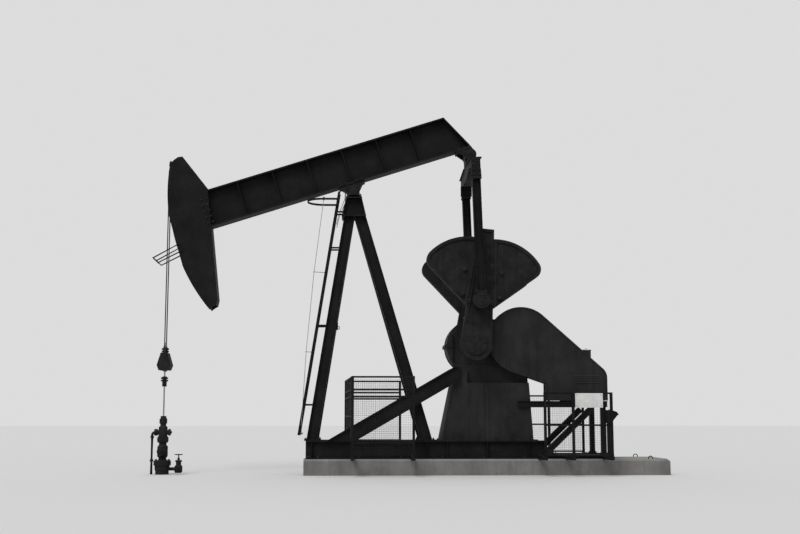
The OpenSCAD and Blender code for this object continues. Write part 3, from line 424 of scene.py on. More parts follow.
rail_y, rail_half, rail_thin = 0.2, 0.03, 0.014
joint_z, ladder_top, tie_z, tie_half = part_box("ladder")[1].z - 0.05, 6.913, 6.4, 0.02
upper = bmesh.new()
for side in (-1, 1):
    rail = [(ladder_x(z) + way * rail_half, z) for way, z in
            ((-1, joint_z), (1, joint_z), (1, ladder_top), (-1, ladder_top))]
    prism(upper, rail, side * rail_y - rail_thin / 2, side * rail_y + rail_thin / 2)
    block(upper, (ladder_x(tie_z), side * 0.186 - 0.008, tie_z - tie_half),
          (-0.27, side * 0.186 + 0.008, tie_z + tie_half))
rung_z, rung_r, bracket_z = (6.42, 6.725), 0.013, 3.55
for z in rung_z:
    bar(upper, (ladder_x(z), -rail_y, z), (ladder_x(z), rail_y, z), rung_r, 12)
bracket = Vector((ladder_x(bracket_z) + 0.47, -0.365, bracket_z))
block(upper, bracket - Vector((0.02, 0.045, 0.09)), bracket + Vector((0.05, 0.045, 0.09)))
loop(upper, bracket + Vector((0.055, 0, -0.04)), (0, 1, 0), 0.035, 0.008)
piece("ladder_upper_end", upper, black, "root")

hoop_z, hoop_half, strap_half, hoop_thin = 6.683, 0.41, 0.025, 0.01
hoop_back = ladder_x(hoop_z) + hoop_thin
hoop_mid = hoop_back - 0.36
hoop = bmesh.new()
bow = [math.radians(-90 - 180 * k / 32) for k in range(33)]


def bent(half, angles):
    """The strap's line at a half width, in plan."""
    return [(hoop_mid + half * math.cos(a), half * math.sin(a), hoop_z - strap_half) for a in angles]


hoop_in = hoop_half - hoop_thin
ends = [(hoop_back, half, hoop_z - strap_half) for half in (-hoop_half, hoop_half, hoop_in, -hoop_in)]
strap = [ends[0], *bent(hoop_half, bow), *ends[1:3], *bent(hoop_in, bow[::-1]), ends[3]]
plate(hoop, strap, (0, 0, 2 * strap_half))
for side in (-1, 1):
    block(hoop, (hoop_back - 0.01, side * (rail_y + 0.007), hoop_z - strap_half),
          (hoop_back + 0.01, side * hoop_half, hoop_z + strap_half))
    bolt(hoop, (hoop_back, side * (rail_y + 0.04), hoop_z), (-1, 0, 0), 0.02)
piece("ladder_hoop_strap", hoop, black, "root", "ladder_hoop")

line_at = [(-0.74, -0.418, 6.68), (-0.967, -0.3, 4.88), (-1.14, -0.25, 2.93), (-1.245, -0.215, 1.02)]
line = bmesh.new()
pipe(line, line_at, 0.007)
piece("safety_line", line, bright, "root")
guides = bmesh.new()
for x, y, z in line_at[1:3]:
    bar(guides, (x, y, z), (ladder_x(z), -rail_y, z), 0.006, 10)
    loop(guides, (x, y, z), up, 0.016, 0.005)
bar(guides, (-0.74, -0.418, 6.64), (-0.74, -0.418, 6.73), 0.016, 12)
bar(guides, (-1.245, -0.215, 1.0), (-1.245, -0.215, 1.16), 0.014, 12)
loop(guides, (-1.245, -0.215, 0.985), (0, 1, 0), 0.028, 0.008)
bar(guides, (-1.29, -0.205, 0.965), (-1.2, -0.225, 0.965), 0.012, 10)
piece("safety_line_guides", guides, black, "root")


# Pedestal and long struts
# A tapered box of welded plate carries the gearbox, and two rolled struts run up to it from the feet.
# Its foot plate is ribbed and bolted to the rails, and a stiffener stands in the middle of each side.
# The same black paint made lighter for the pedestal, gearbox, motor and guard: the extra lightness is painted
# light standing for the light their near sides catch, while the patches, runs and dust are real weathering.
black_with_painted_light = weathered("black_paint_with_painted_light", (0.009, 0.009, 0.0092), (0.023, 0.023, 0.0235), 0.7, 0.66, shine=0.13,
                 runs=0.55, dust=0.4, grain=110.0, relief=0.002, dust_tone=(0.07, 0.069, 0.066))
dress(black_with_painted_light, "pedestal")
dress(black, "pedestal_struts")
ped_low, ped_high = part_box("pedestal")
side_y, over, skirt_t, rib_top, rib_t = 0.6, 0.055, 0.03, 1.09, 0.014
skirt = bmesh.new()
footing = bmesh.new()
rib_x = [ped_low.x + 0.09 + k * (ped_high.x - ped_low.x - 0.18) / 5 for k in range(6)]
for side in (-1, 1):
    inner, outer = side * (side_y - 0.01), side * (side_y + over)
    block(skirt, (ped_low.x - 0.02, side * (side_y - 0.02), skid_top),
          (ped_high.x + 0.02, outer, skid_top + skirt_t))
    for x in rib_x:
        plate(skirt, [(x - rib_t / 2, y, z) for y, z in ((inner, skid_top), (outer, skid_top),
              (outer, skid_top + 0.05), (inner, rib_top))], (rib_t, 0, 0))
    bolts(footing, [x + dx for x in rib_x[:-1] for dx in (0.13, 0.27)], [side * (side_y + 0.028)],
          [skid_top + skirt_t], up, 0.032)
    block(skirt, (3.165, inner, skid_top + skirt_t), (3.255, side * (side_y + 0.022), 2.17))
piece("pedestal_skirt", skirt, black_with_painted_light, "root")
piece("pedestal_foot_bolts", footing, bolt_steel, "root")


# Gear reducer
# A cast gearbox in two halves, joined at the shafts' level by a flange with a row of bolts.
# Ribs stiffen its sides, caps ring its shafts, and a bolted lid with a breather closes the top.
# The brake's drum and band sit on the far side, and the pipe for the oil's level on the near side.
dress(black_with_painted_light, "gear_reducer", "reducer_cover")
dress(cast, "brake_drum")
dress(black, "level_pipe")
shaft = joint_at["crank_turn"]
drive = shaft + Vector((1.12, 0, 0.126))
case_y, lip_y, joint_half = 0.42, 0.44, 0.04
flange_low, flange_high, flange_bolts = shaft.x - 0.695, shaft.x + 1.585, 15
flange_step = (flange_high - flange_low - 0.1) / (flange_bolts - 1)
flange_x = [flange_low + 0.05 + k * flange_step for k in range(flange_bolts)]
flange_x = [x for x in flange_x if abs(x - shaft.x) > 0.27]
casing = bmesh.new()
ribs = bmesh.new()
for side in (-1, 1):
    out, bolt_y = (0, side, 0), [side * (lip_y - 0.014)]
    y0, y1 = side * (case_y - 0.01), side * (case_y + 0.02)
    for dx, low, high in ((-0.42, 0.44, 0.5), (-0.12, 0.47, 0.64), (0.4, 0.47, 0.65),
                          (0.88, 0.47, 0.578), (1.34, 0.46, 0.49)):
        x = shaft.x + dx
        block(ribs, (x, y0, shaft.z + joint_half), (x + 0.024, y1, shaft.z + high))
        block(ribs, (x, y0, shaft.z - low), (x + 0.024, y1, shaft.z - joint_half))
    for x in (shaft.x + 0.64, shaft.x + 1.12):
        lathe(ribs, [(0.19, -0.02), (0.19, 0.018), (0.18, 0.026), (0.12, 0.026), (0.11, 0.034)],
              (x, side * case_y, shaft.z), out)
        bolt_ring(casing, (x, side * (case_y + 0.026), shaft.z), out, 0.152, 8, 0.022)
    bolt_ring(casing, (shaft.x, side * 0.52, shaft.z), out, 0.2, 10, 0.026)
    bolts(casing, flange_x, bolt_y, [shaft.z + joint_half], up, 0.022)
    bolts(casing, flange_x, bolt_y, [shaft.z - joint_half], down, 0.022)
    bolts(casing, [shaft.x - 0.39 + k * 0.2 for k in range(9)], bolt_y, [ped_high.z + 0.06], up, 0.022)
lid_low, lid_high = shaft.x - 0.2, shaft.x + 0.1
lid_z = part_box("reducer_cover")[1].z
lid_top = lid_z + 0.016
block(ribs, (lid_low, -0.22, lid_z), (lid_high, 0.22, lid_top))
lathe(ribs, [(0.022, 0), (0.022, 0.03), (0.045, 0.035), (0.045, 0.06), (0.03, 0.072)],
      (shaft.x - 0.05, 0, lid_z + 0.012))
bolts(casing, (lid_low + 0.025, lid_high - 0.025), (-0.19, 0, 0.19), [lid_top], up, 0.02)
for dx, dz in ((0.3, 0.685), (1.2, 0.548)):
    loop(casing, shaft + Vector((dx, 0, dz)), (0, 1, 0), 0.045, 0.012)
piece("reducer_ribs", ribs, black_with_painted_light, "root")
piece("reducer_bolts", casing, bolt_steel, "root")

drum = Vector((drive.x, case_y + 0.19, drive.z))
brake = bmesh.new()
bolt_ring(brake, drum - Vector((0, 0.1, 0)), (0, 1, 0), 0.12, 6, 0.03)
lathe(brake, [(0.07, -0.12), (0.07, -0.03), (0.05, -0.02)], drum, (0, 1, 0))
lathe(brake, [(0.331, -0.11), (0.337, -0.11), (0.337, -0.03), (0.331, -0.03)], drum, (0, 1, 0), 72, True)
for way in (-1, 1):
    block(brake, drum + Vector((way * 0.018, -0.1, -0.4)), drum + Vector((way * 0.03, -0.04, -0.33)))
bar(brake, drum + Vector((-0.05, -0.07, -0.37)), drum + Vector((0.05, -0.07, -0.37)), 0.01)
piece("brake_band", brake, bolt_steel, "root")


# Motor platform
# A frame of rolled beams behind the pedestal, carried by two slanted props and two end posts.
# The motor stands on two slide rails that run along the machine, so that the belts can be drawn tight.
dress(black, "motor_platform")


def rolled(shape, start, end, depth, width, flange, web):
    """Adds a rolled section from start to end, its flanges square to x."""
    start = Vector(start)
    run = Vector(end) - start
    turn = (Matrix.Translation(start) @ Matrix.Rotation(math.atan2(run.x, run.z), 4, "Y")
            @ Matrix.Rotation(-math.asin(run.y / run.length), 4, "X"))
    outside, inside = depth / 2, depth / 2 - flange
    for x0, x1, wide in ((-outside, -inside, width), (inside, outside, width), (-inside, inside, web)):
        block(shape, (x0, -wide / 2, 0), (x1, wide / 2, run.length), turn)


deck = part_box("motor_platform")[1].z
deck_under = deck - 0.14
prop_low, prop_x, prop_slope = concrete_top + 0.1, 4.62, math.tan(math.radians(43.5))
post_x, base_half = 5.99, 0.07
rise = deck_under - prop_low - 0.09
props = bmesh.new()
for y in (-0.645, 0.645):
    rolled(props, (prop_x, y, prop_low + 0.05), (prop_x + rise / prop_slope, y, prop_low + 0.05 + rise),
           0.14, 0.13, 0.016, 0.012)
    shoe = [(-0.02, 0), (0.2, 0), (0.12, 0.1), (-0.02, 0.14)]
    prism(props, [(prop_x + x, prop_low + z) for x, z in shoe], y - base_half, y + base_half)
    rolled(props, (post_x, y, prop_low), (post_x, y, deck_under), 0.12, 0.1, 0.01, 0.008)
    block(props, (post_x - 0.09, y - base_half, prop_low), (post_x + 0.09, y + base_half, prop_low + 0.018))
    block(props, (5.9, y - 0.06, deck_under - 0.014), (6.06, y + 0.06, deck_under))
    bolts(props, (post_x - 0.075, post_x + 0.075), (y - 0.045, y + 0.045), [prop_low + 0.018], up, 0.022)
piece("platform_props", props, black, "root", "platform_struts")

motor = Vector((5.6, 0, 2.33))
slide_y, slide_half, slide_t, slide_top = (-0.19, 0.23), 0.055, 0.018, 2.02
slides = bmesh.new()
for y in slide_y:
    for z0, z1, half in ((deck, deck + slide_t, slide_half), (slide_top - slide_t, slide_top, slide_half),
                         (deck + slide_t, slide_top - slide_t, 0.007)):
        block(slides, (motor.x - 0.48, y - half, z0), (motor.x + 0.44, y + half, z1))
    for x in [motor.x + dx for dx in (-0.4, -0.13, 0.13, 0.38)]:
        block(slides, (x - 0.006, y - 0.05, deck + slide_t), (x + 0.006, y + 0.05, slide_top - slide_t))
        bolts(slides, [x + 0.05], (y - 0.034, y + 0.034), [deck + slide_t], up, 0.022)
    for end in (-0.47, 0.43):
        x = motor.x + end
        block(slides, (x - 0.01, y - 0.03, slide_top), (x + 0.01, y + 0.03, slide_top + 0.06))
        bar(slides, (x - 0.04, y, slide_top + 0.035), (motor.x + end * 0.66, y, slide_top + 0.035), 0.011)
piece("motor_slide_rails", slides, black, "root")


# Electric motor
# A ribbed cast frame with bolted end shields, a fan cowl at the far end and a cable box on its side.
# Its feet are bolted to the slide rails and its shaft carries the small pulley inside the guard.
motor_body = bmesh.new()
lathe(motor_body, [(0.042, -0.1), (0.042, 0.0), (0.11, 0.0), (0.12, 0.022), (0.225, 0.03), (0.29, 0.05),
                   (0.29, 0.09), (0.256, 0.094), (0.256, 0.63), (0.282, 0.634), (0.282, 0.735),
                   (0.262, 0.757), (0.25, 0.76)], (motor.x, -0.36, motor.z), (0, 1, 0), 64)
fins = 40
for k in range(fins):
    turn = Matrix.Translation(motor) @ Matrix.Rotation(2 * math.pi * k / fins, 4, "Y")
    block(motor_body, (-0.004, -0.265, 0.245), (0.004, 0.268, 0.288), turn)
foot_top = slide_top + 0.026
for y in slide_y:
    block(motor_body, (motor.x - 0.27, y - 0.045, slide_top), (motor.x + 0.27, y + 0.045, foot_top))
    low_z, high_z = slide_top + 0.02, motor.z - 0.12
    foot = [(motor.x + x, z) for x, z in ((-0.25, low_z), (0.25, low_z), (0.21, high_z), (-0.21, high_z))]
    prism(motor_body, foot, y - 0.018, y + 0.018)
cable_box = motor + Vector((0.24, 0.03, 0))
block(motor_body, cable_box - Vector((0, 0.09, 0.09)), cable_box + Vector((0.12, 0.09, 0.09)))
block(motor_body, cable_box + Vector((0.115, -0.1, -0.1)), cable_box + Vector((0.133, 0.1, 0.1)))
piece("motor_frame", motor_body, black_with_painted_light, "root", "electric_motor")
trim = bmesh.new()
bolt_ring(trim, (motor.x, -0.312, motor.z), (0, -1, 0), 0.262, 8, 0.018)
bolt_ring(trim, (motor.x, -0.362, motor.z), (0, -1, 0), 0.085, 4, 0.016)
loop(trim, motor + Vector((0, 0.02, 0.315)), (0, 1, 0), 0.03, 0.009)
bolts(trim, (motor.x - 0.225, motor.x + 0.225), slide_y, [foot_top], up, 0.032)
for radius in (0.06, 0.11, 0.16, 0.21):
    loop(trim, motor + Vector((0, 0.404, 0)), (0, 1, 0), radius, 0.004)
grille = motor + Vector((0, 0.402, 0))
for k in range(8):
    angle = math.radians(45 * k)
    spoke = Vector((math.cos(angle), 0, math.sin(angle)))
    bar(trim, grille + spoke * 0.02, grille + spoke * 0.245, 0.004, 6)
bolts(trim, [cable_box.x + 0.133], (-0.055, 0.115), (motor.z - 0.085, motor.z + 0.085), (1, 0, 0), 0.012)
pipe(trim, [cable_box + Vector((0.06, 0, -0.08)), cable_box + Vector((0.06, 0, -0.2)),
            cable_box + Vector((0.065, 0.005, -0.3)), (cable_box.x + 0.07, 0.04, deck - 0.02)], 0.018, 12)
piece("motor_trim", trim, bolt_steel, "root")


# Belt guard
# A closed sheet-steel case round both pulleys, from the gearbox down to the platform, with flanged rims.
# Its near sheet is bolted along the rim, louvres cool the belts and a small hatch sits on its slope.
guard_out, guard_in = -0.75, -0.45
guard_r, corner_r, corner = 0.797, 0.3, Vector((5.795, 0, 2.3))
guard_foot = (4.6, 2.16)
sheet_in, flange_wide, flange_thick, bolt_in, bolt_pitch = 0.012, 0.045, 0.02, 0.022, 0.26


def guard_outline(extra):
    """Outline of the guard, drawn out by an even amount."""
    big, small = guard_r + extra, corner_r + extra
    run = corner - drive
    tangent = math.atan2(run.z, run.x) + math.acos((guard_r - corner_r) / run.length)
    knee = Vector((guard_foot[0] - extra, 0, guard_foot[1] - extra))
    lower = knee - drive
    low = math.atan2(lower.z, lower.x) - math.acos(big / lower.length) + 2 * math.pi
    arc = [on_circle(big, tangent + (low - tangent) * k / 56) for k in range(57)]
    bend = [on_circle(small, tangent * k / 13) for k in range(13)]
    base = deck + 0.012 - extra
    return [*[(drive.x + p.x, drive.z + p.y) for p in arc], (knee.x, knee.z), (knee.x, base),
            (corner.x + small, base), *[(corner.x + p.x, corner.z + p.y) for p in bend]]


def rim(shape, outside, inside, y0, y1, turn=upright):
    """Adds a flat raised border between two outlines with as many corners."""
    rings = ((outside, y0), (outside, y1), (inside, y1), (inside, y0))
    skin(shape, [[turn @ Vector((x, y, z)) for x, z in edge] for edge, y in rings], True)


def along(outline, pitch):
    """Places at an even pitch along a closed outline in x and z."""
    travelled, places = 0.0, []
    for (x0, z0), (x1, z1) in zip(outline, outline[1:] + outline[:1]):
        step = math.hypot(x1 - x0, z1 - z0)
        while travelled < step:
            share = travelled / step
            places.append((x0 + (x1 - x0) * share, z0 + (z1 - z0) * share))
            travelled += pitch
        travelled -= step
    return places


guard = bmesh.new()
prism(guard, guard_outline(-sheet_in), guard_out + sheet_in, guard_in - sheet_in)
piece("guard_case", guard, black_with_painted_light, "root", "belt_guard")
guard_rims = bmesh.new()
for y0, y1 in ((guard_out, guard_out + flange_thick), (guard_in - flange_thick, guard_in)):
    rim(guard_rims, guard_outline(0), guard_outline(-flange_wide), y0, y1)
vent_x, vent_z, vent_wide = 5.295, 2.17, 0.59
for z in [vent_z + 0.04 * k for k in range(5)]:
    slat = ((0.016, 0.03), (-0.006, 0), (-0.003, -0.004), (0.016, 0.02))
    plate(guard_rims, [(vent_x, guard_out + y, z + dz) for y, dz in slat], (vent_wide, 0, 0))
hatch = Vector((5.627, -0.6, 2.952))
block(guard_rims, hatch + Vector((-0.095, -0.1, -0.24)), hatch + Vector((0.095, 0.1, 0)))
block(guard_rims, hatch + Vector((-0.105, -0.11, 0)), hatch + Vector((0.105, 0.11, 0.014)))
piece("guard_rims", guard_rims, black_with_painted_light, "root", "belt_guard")
guard_bolts = bmesh.new()
for x, z in along(guard_outline(-bolt_in), bolt_pitch):
    bolt(guard_bolts, (x, guard_out, z), (0, -1, 0), 0.017)
bolts(guard_bolts, (hatch.x - 0.08, hatch.x + 0.08), (hatch.y - 0.085, hatch.y + 0.085), [hatch.z + 0.014],
      up, 0.014)
loop(guard_bolts, hatch + Vector((0, 0, 0.02)), (0, 1, 0), 0.03, 0.006)
piece("guard_bolts", guard_bolts, bolt_steel, "root")


# Switch box
# A sheet-steel box for the motor's switch hangs behind the platform's near rear post.
# It has a hooded lid, a handle on its near side and a plain steel stand under it.
switch = bmesh.new()
switch_at = Vector((6.055, -0.645, 1.22))
case = [(0, 0), (0.108, 0), (0.27, 0.2), (0.238, 0.254), (0.108, 0.31), (0, 0.31)]
hood = [(0.1, 0.32), (0.1, 0.306), (0.24, 0.25), (0.28, 0.19), (0.292, 0.197), (0.25, 0.264)]
for outline, half in ((case, 0.12), (hood, 0.13)):
    prism(switch, outline, -half, half, Matrix.Translation(switch_at))
block(switch, (switch_at.x + 0.03, switch_at.y - 0.04, prop_low), switch_at + Vector((0.1, 0.04, 0.01)))
handle = switch_at + Vector((0.1, -0.15, 0.15))
bar(switch, handle, handle + Vector((0, 0.04, 0)), 0.02, 16)
bar(switch, handle + Vector((0, 0.005, 0)), handle + Vector((0.06, 0.005, 0.05)), 0.01)
piece("switch_box", switch, black, "root")


# Crankshaft, cranks and counterweights
# Two cast cranks are keyed to the shaft's ends, with raised edges that the weights clamp to.
# Each weight is one heavy casting with a raised rim, held by two T-bolts in bosses.
dress(bright, "crank_shaft")
crank_turn = math.radians(5.9)
crank_place = Matrix.Translation(shaft) @ Matrix.Rotation(crank_turn, 4, "Y")
crank_in, crank_out, weight_in, weight_out = 0.86, 1.05, 0.83, 1.08
hub_r, tip_r, tip_half, pin_at, pin_pitch = 0.38, 2.79, 0.17, 1.041, 0.152
recess_deep, edge, rim_wide, spare_y = 0.028, 0.07, 0.075, crank_out - 0.006
weight_r, nose_r, root_z, shoulder_z, play = 1.288, 0.243, 0.9, 2.55, 0.001
weight_mid, nose_lift = Vector((0.318, 1.274)), math.radians(38.8)


def crank_half(r):
    """Half width of a crank at a distance from its shaft."""
    return 0.3762 + (tip_half - 0.3762) * (r - 0.06) / (tip_r - 0.06)


def weight_outline(way, inset):
    """Outline of the counterweight on one side of the crank, drawn in by an even amount."""
    nose, big = nose_r - inset, weight_r - inset
    nose_mid = weight_mid + on_circle(weight_r - nose_r, nose_lift).xy
    root = Vector((crank_half(root_z) + play + inset, root_z + inset))
    run = nose_mid - root
    first = math.atan2(run.y, run.x) - math.asin(nose / run.length) - math.pi / 2
    last = math.acos((crank_half(shoulder_z) + play + inset - weight_mid.x) / big)
    around = [nose_mid + on_circle(nose, first + (nose_lift - first) * k / 14).xy for k in range(15)]
    back = [weight_mid + on_circle(big, nose_lift + (last - nose_lift) * k / 32).xy for k in range(1, 33)]
    return [(way * point.x, point.y) for point in (root, *around, *back)]


arc = [math.radians(170.94 + 198.12 * k / 36) for k in range(37)]
hub_line = [(hub_r * math.cos(a), hub_r * math.sin(a)) for a in arc]
low_r, high_r = hub_r + edge, tip_r - edge
low_half, high_half = crank_half(low_r), crank_half(high_r)
tip = [(tip_half, tip_r), (-tip_half, tip_r)]
border = [(low_half, low_r), (high_half, high_r), (high_half - edge, high_r), (low_half - edge, low_r)]
for side, name in ((-1, "near"), (1, "far")):
    crank = bmesh.new()
    out = (0, side, 0)
    face = (side * (crank_out - recess_deep), side * crank_out)
    prism(crank, tip + hub_line, side * crank_in, face[0], crank_place)
    prism(crank, hub_line + [(low_half, low_r), (-low_half, low_r)], *face, crank_place)
    prism(crank, [(-high_half, high_r), (high_half, high_r)] + tip, *face, crank_place)
    for way in (-1, 1):
        prism(crank, [(way * x, z) for x, z in border], *face, crank_place)
    for z, radius, reach in ((0, 0.26, 0), (0, 0.127, 0.004), (pin_at, 0.098, 0)):
        reach += weight_out
        lathe(crank, [(radius, crank_in + 0.01), (radius, reach - 0.01), (radius - 0.01, reach)],
              (0, 0, z), out, 48, turn=crank_place)
    for k in (-1, 1, 2):
        spare = [(0.046, 0.9), (0.066, 0.9), (0.066, crank_out - 0.012), (0.06, spare_y), (0.046, spare_y)]
        lathe(crank, spare, (0, 0, pin_at + k * pin_pitch), out, 32, True, crank_place)
    piece("crank_casting_" + name, crank, cast, "crank", "crank_" + name)
    fixings = bmesh.new()
    bolt_ring(fixings, (0, side * weight_out, 0), out, 0.2, 8, 0.03, crank_place)
    key_y = side * (weight_out + 0.002)
    block(fixings, (-0.02, key_y - 0.006, 0.09), (0.02, key_y + 0.006, 0.17), crank_place)
    weights = bmesh.new()
    for way in (-1, 1):
        full = weight_outline(way, 0)
        prism(weights, full, side * weight_in, side * (weight_out - 0.035), crank_place)
        rim(weights, full, weight_outline(way, rim_wide), side * (weight_out - 0.036), side * weight_out,
            crank_place)
        boss_x = way * (crank_half(weight_mid.y) + 0.16)
        for z in (1.16, 1.754):
            boss = [(0.075, weight_out - 0.04), (0.062, weight_out - 0.02), (0.062, weight_out - 0.006)]
            lathe(weights, boss, (boss_x, 0, z), out, 32, turn=crank_place)
            bolt(fixings, (boss_x, side * (weight_out - 0.006), z), out, 0.058, crank_place)
        for z in (1.02, 1.9):
            clip = Vector((way * (crank_half(z) - 0.02), side * crank_out, z))
            half = Vector((0.06, 0.014, 0.05))
            block(fixings, clip - half, clip + half, crank_place)
            bolt(fixings, clip + Vector((-way * 0.02, side * 0.014, 0)), out, 0.036, crank_place)
    piece("counterweight_castings_" + name, weights, cast, "crank", "counterweights_" + name)
    piece("crank_fixings_" + name, fixings, bolt_steel, "crank")


# Pitmans and equalizer
# The cross beam under the tail bearing carries two long side arms, each bolted on at its top.
# A round bearing housing at each foot holds the crank pin under a bolted cover.
dress(black, "equalizer", "pitman_arms")
dress(cast, "wrist_bearings")
tail = joint_at["pitman_swing"]
wrist = shaft + pin_at * Vector((math.sin(crank_turn), 0, math.cos(crank_turn)))
lean = math.atan2(tail.x - wrist.x, tail.z - wrist.z)
pitman_place = Matrix.Translation(tail) @ Matrix.Rotation(lean, 4, "Y")
wrist_z, wrist_out, pitman_y, pitman_top = -(tail - wrist).length, 1.4, 1.245, -0.8
pad_low, pad_high, pad_top = (wrist_z + dz for dz in (0.165, 0.198, 0.218))
bosses = bmesh.new()
joints = bmesh.new()
for side in (-1, 1):
    out = (0, side, 0)
    lathe(bosses, [(0.16, -0.02), (0.16, 0.018), (0.148, 0.025), (0.07, 0.025), (0.06, 0.03)],
          (0, side * wrist_out, wrist_z), out, 48, turn=pitman_place)
    bolt_ring(joints, (0, side * (wrist_out + 0.023), wrist_z), out, 0.122, 8, 0.026, pitman_place)
    for low, high in ((pad_low, pad_high), (pad_high, pad_top)):
        block(bosses, (-0.13, side * 1.1, low), (0.13, side * 1.39, high), pitman_place)
    arm = side * pitman_y
    block(bosses, (-0.12, arm - 0.115, pitman_top - 0.05), (0.12, arm + 0.115, pitman_top), pitman_place)
    bolts(joints, (-0.105, 0.105), (arm - 0.08, arm + 0.08), [pad_top], up, 0.03, pitman_place)
    bolts(joints, (-0.09, 0.09), (arm - 0.1, arm + 0.1), [pitman_top - 0.05], down, 0.026, pitman_place)
    bolts(joints, (-0.07, 0.07), [side * 1.345], (-0.38, -0.5, -0.62, -0.74), out, 0.03, pitman_place)
piece("wrist_covers", bosses, cast, "pitman")
piece("pitman_bolts", joints, bolt_steel, "pitman")
rims = bmesh.new()
rim_t, rim_half = 0.026, 0.145
edges = (((-0.39, -0.66), (0.39, -0.66), 1), ((0.39, -0.66), (1.07, -0.56), 1),
         ((1.07, -0.56), (1.145, -0.8), 1), ((0.25, -0.26), (1.345, -0.32), -1))
for (y0, z0), (y1, z1), inward in edges:
    run = Vector((y1 - y0, z1 - z0)).normalized()
    dy, dz = -run.y * rim_t * inward, run.x * rim_t * inward
    for way in ((-1, 1) if y0 > 0 else (1,)):
        strip = ((y0, z0), (y1, z1), (y1 + dy, z1 + dz), (y0 + dy, z0 + dz))
        plate(rims, [(-rim_half, way * y, z) for y, z in strip], (2 * rim_half, 0, 0), pitman_place)
piece("equalizer_rims", rims, black, "pitman")


# Walking beam
# One deep rolled beam with a tapered tail, its web stiffened by plates, on a clamped saddle.
# The bearing for the equalizer hangs under its tail in a bolted bracket.
dress(black, "walking_beam")
dress(cast, "beam_saddle", "tail_bracket")
rest_tilt = -math.atan2(tail.z - pivot.z, tail.x - pivot.x)
beam_place = Matrix.Translation(pivot) @ Matrix.Rotation(rest_tilt, 4, "Y")
tail_arm, beam_low, head_y = (tail - pivot).length, 0.197, 0.226
flange_top, bracket_x = beam_low + 0.038, [tail_arm + x for x in (-0.24, -0.1, 0.04)]
beam_bolts = bmesh.new()
caps = bmesh.new()
for side in (-1, 1):
    out = (0, side, 0)
    bolts(beam_bolts, (-0.27, -0.14, 0.14, 0.27), [side * 0.15], [flange_top], up, 0.04, beam_place)
    bolts(beam_bolts, bracket_x, [side * 0.248], [beam_low], up, 0.036, beam_place)
    bolt_ring(beam_bolts, (tail_arm, side * 0.278, 0), out, 0.045, 4, 0.02, beam_place)
    bolts(beam_bolts, (-3.66, -3.54), [side * head_y], (0.3, 0.45, 0.6, 0.75, 0.9), out, 0.034, beam_place)
    lathe(caps, [(0.105, -0.03), (0.105, 0.004), (0.095, 0.012), (0.04, 0.014)],
          (tail_arm, side * 0.27, 0), out, turn=beam_place)
piece("beam_bolts", beam_bolts, bolt_steel, "beam")
piece("tail_bearing_caps", caps, cast, "beam")


# Horsehead and rope guard
# Two side plates cut to the arc, closed by a curved face that the ropes lie on, bolted to the beam.
# Each rope's end is clamped in a block at the top, and a light frame keeps the ropes on the face.
dress(black, "horsehead", "rope_guard")
head_radius = -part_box("bridle_strands")[0].x - 0.0147
rope_side = 0.13
top_place = (beam_place @ Matrix.Rotation(math.radians(25.3), 4, "Y")
             @ Matrix.Translation((-head_radius, 0, 0)))
anchors = bmesh.new()
for side in (-1, 1):
    y = side * rope_side
    bolts(anchors, (-0.022, 0.022), (y + 0.022, y - 0.022), [0.11], up, 0.022, top_place)
    block(anchors, (-0.03, y - 0.035, -0.16), (-0.004, y + 0.035, -0.1), top_place)
    bolts(anchors, [-0.03], [y + 0.024], (-0.145, -0.115), (-1, 0, 0), 0.014, top_place)
    for k in range(6):
        seat = on_circle(head_radius - 0.1, math.radians(-18 + 8 * k))
        bolt(anchors, (-seat.x, side * head_y, seat.y), (0, side, 0), 0.02, beam_place)
piece("rope_anchors", anchors, bolt_steel, "beam")


# Bridle
# Two wire ropes anchored at the head's top lie on its face, leave it level with the centre bearing and
# hang straight down to the carrier bar. Each is six strands laid round a core.
rope = weathered("wire_rope", (0.02, 0.02, 0.02), (0.07, 0.07, 0.068), 0.05, 0.45, metal=0.6, shine=0.3,
                 runs=0.2, dust=0.1, grain=300.0, relief=0.0005, dust_tone=(0.06, 0.06, 0.058))
rope_r, lay_length, strand_sides = 0.0147, 0.22, 5
wrap_angle = math.asin((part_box("bridle_wrap")[1].z - pivot.z) / head_radius)


def laid_rope(shape, middle, length):
    """Adds six strands in a helix; middle gives the rope's centre and two cross directions at a length."""
    strand = rope_r * 0.36
    core = rope_r - strand
    steps = max(8, int(length / lay_length * 14))
    for lay in range(6):
        rings = []
        for k in range(steps + 1):
            centre, side, out = middle(length * k / steps)
            a = 2 * math.pi * (length * k / steps / lay_length + lay / 6)
            point = centre + (side * math.cos(a) + out * math.sin(a)) * core
            angles = [2 * math.pi * s / strand_sides for s in range(strand_sides)]
            rings.append([point + (side * math.cos(b) + out * math.sin(b)) * strand for b in angles])
        skin(shape, rings)


carrier_low, carrier_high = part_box("carrier_bar")
for side, name in ((-1, "near"), (1, "far")):
    def on_arc(length, side=side):
        a = wrap_angle - length / head_radius
        out = Vector((-math.cos(a), 0, math.sin(a)))
        return pivot + out * head_radius + Vector((0, side * rope_side, 0)), Vector((0, 1, 0)), out

    def on_drop(length, side=side):
        return (Vector((-head_radius, side * rope_side, pivot.z - length)), Vector((0, 1, 0)),
                Vector((-1, 0, 0)))

    wound = bmesh.new()
    laid_rope(wound, on_arc, wrap_angle * head_radius)
    made = piece("bridle_wrap_" + name, wound, rope, None)
    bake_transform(made)
    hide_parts("bridle_wrap")

    hung = bmesh.new()
    laid_rope(hung, on_drop, pivot.z - carrier_high.z)
    made = piece("bridle_strand_" + name, hung, rope, None)
    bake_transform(made)
    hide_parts("bridle_strands")


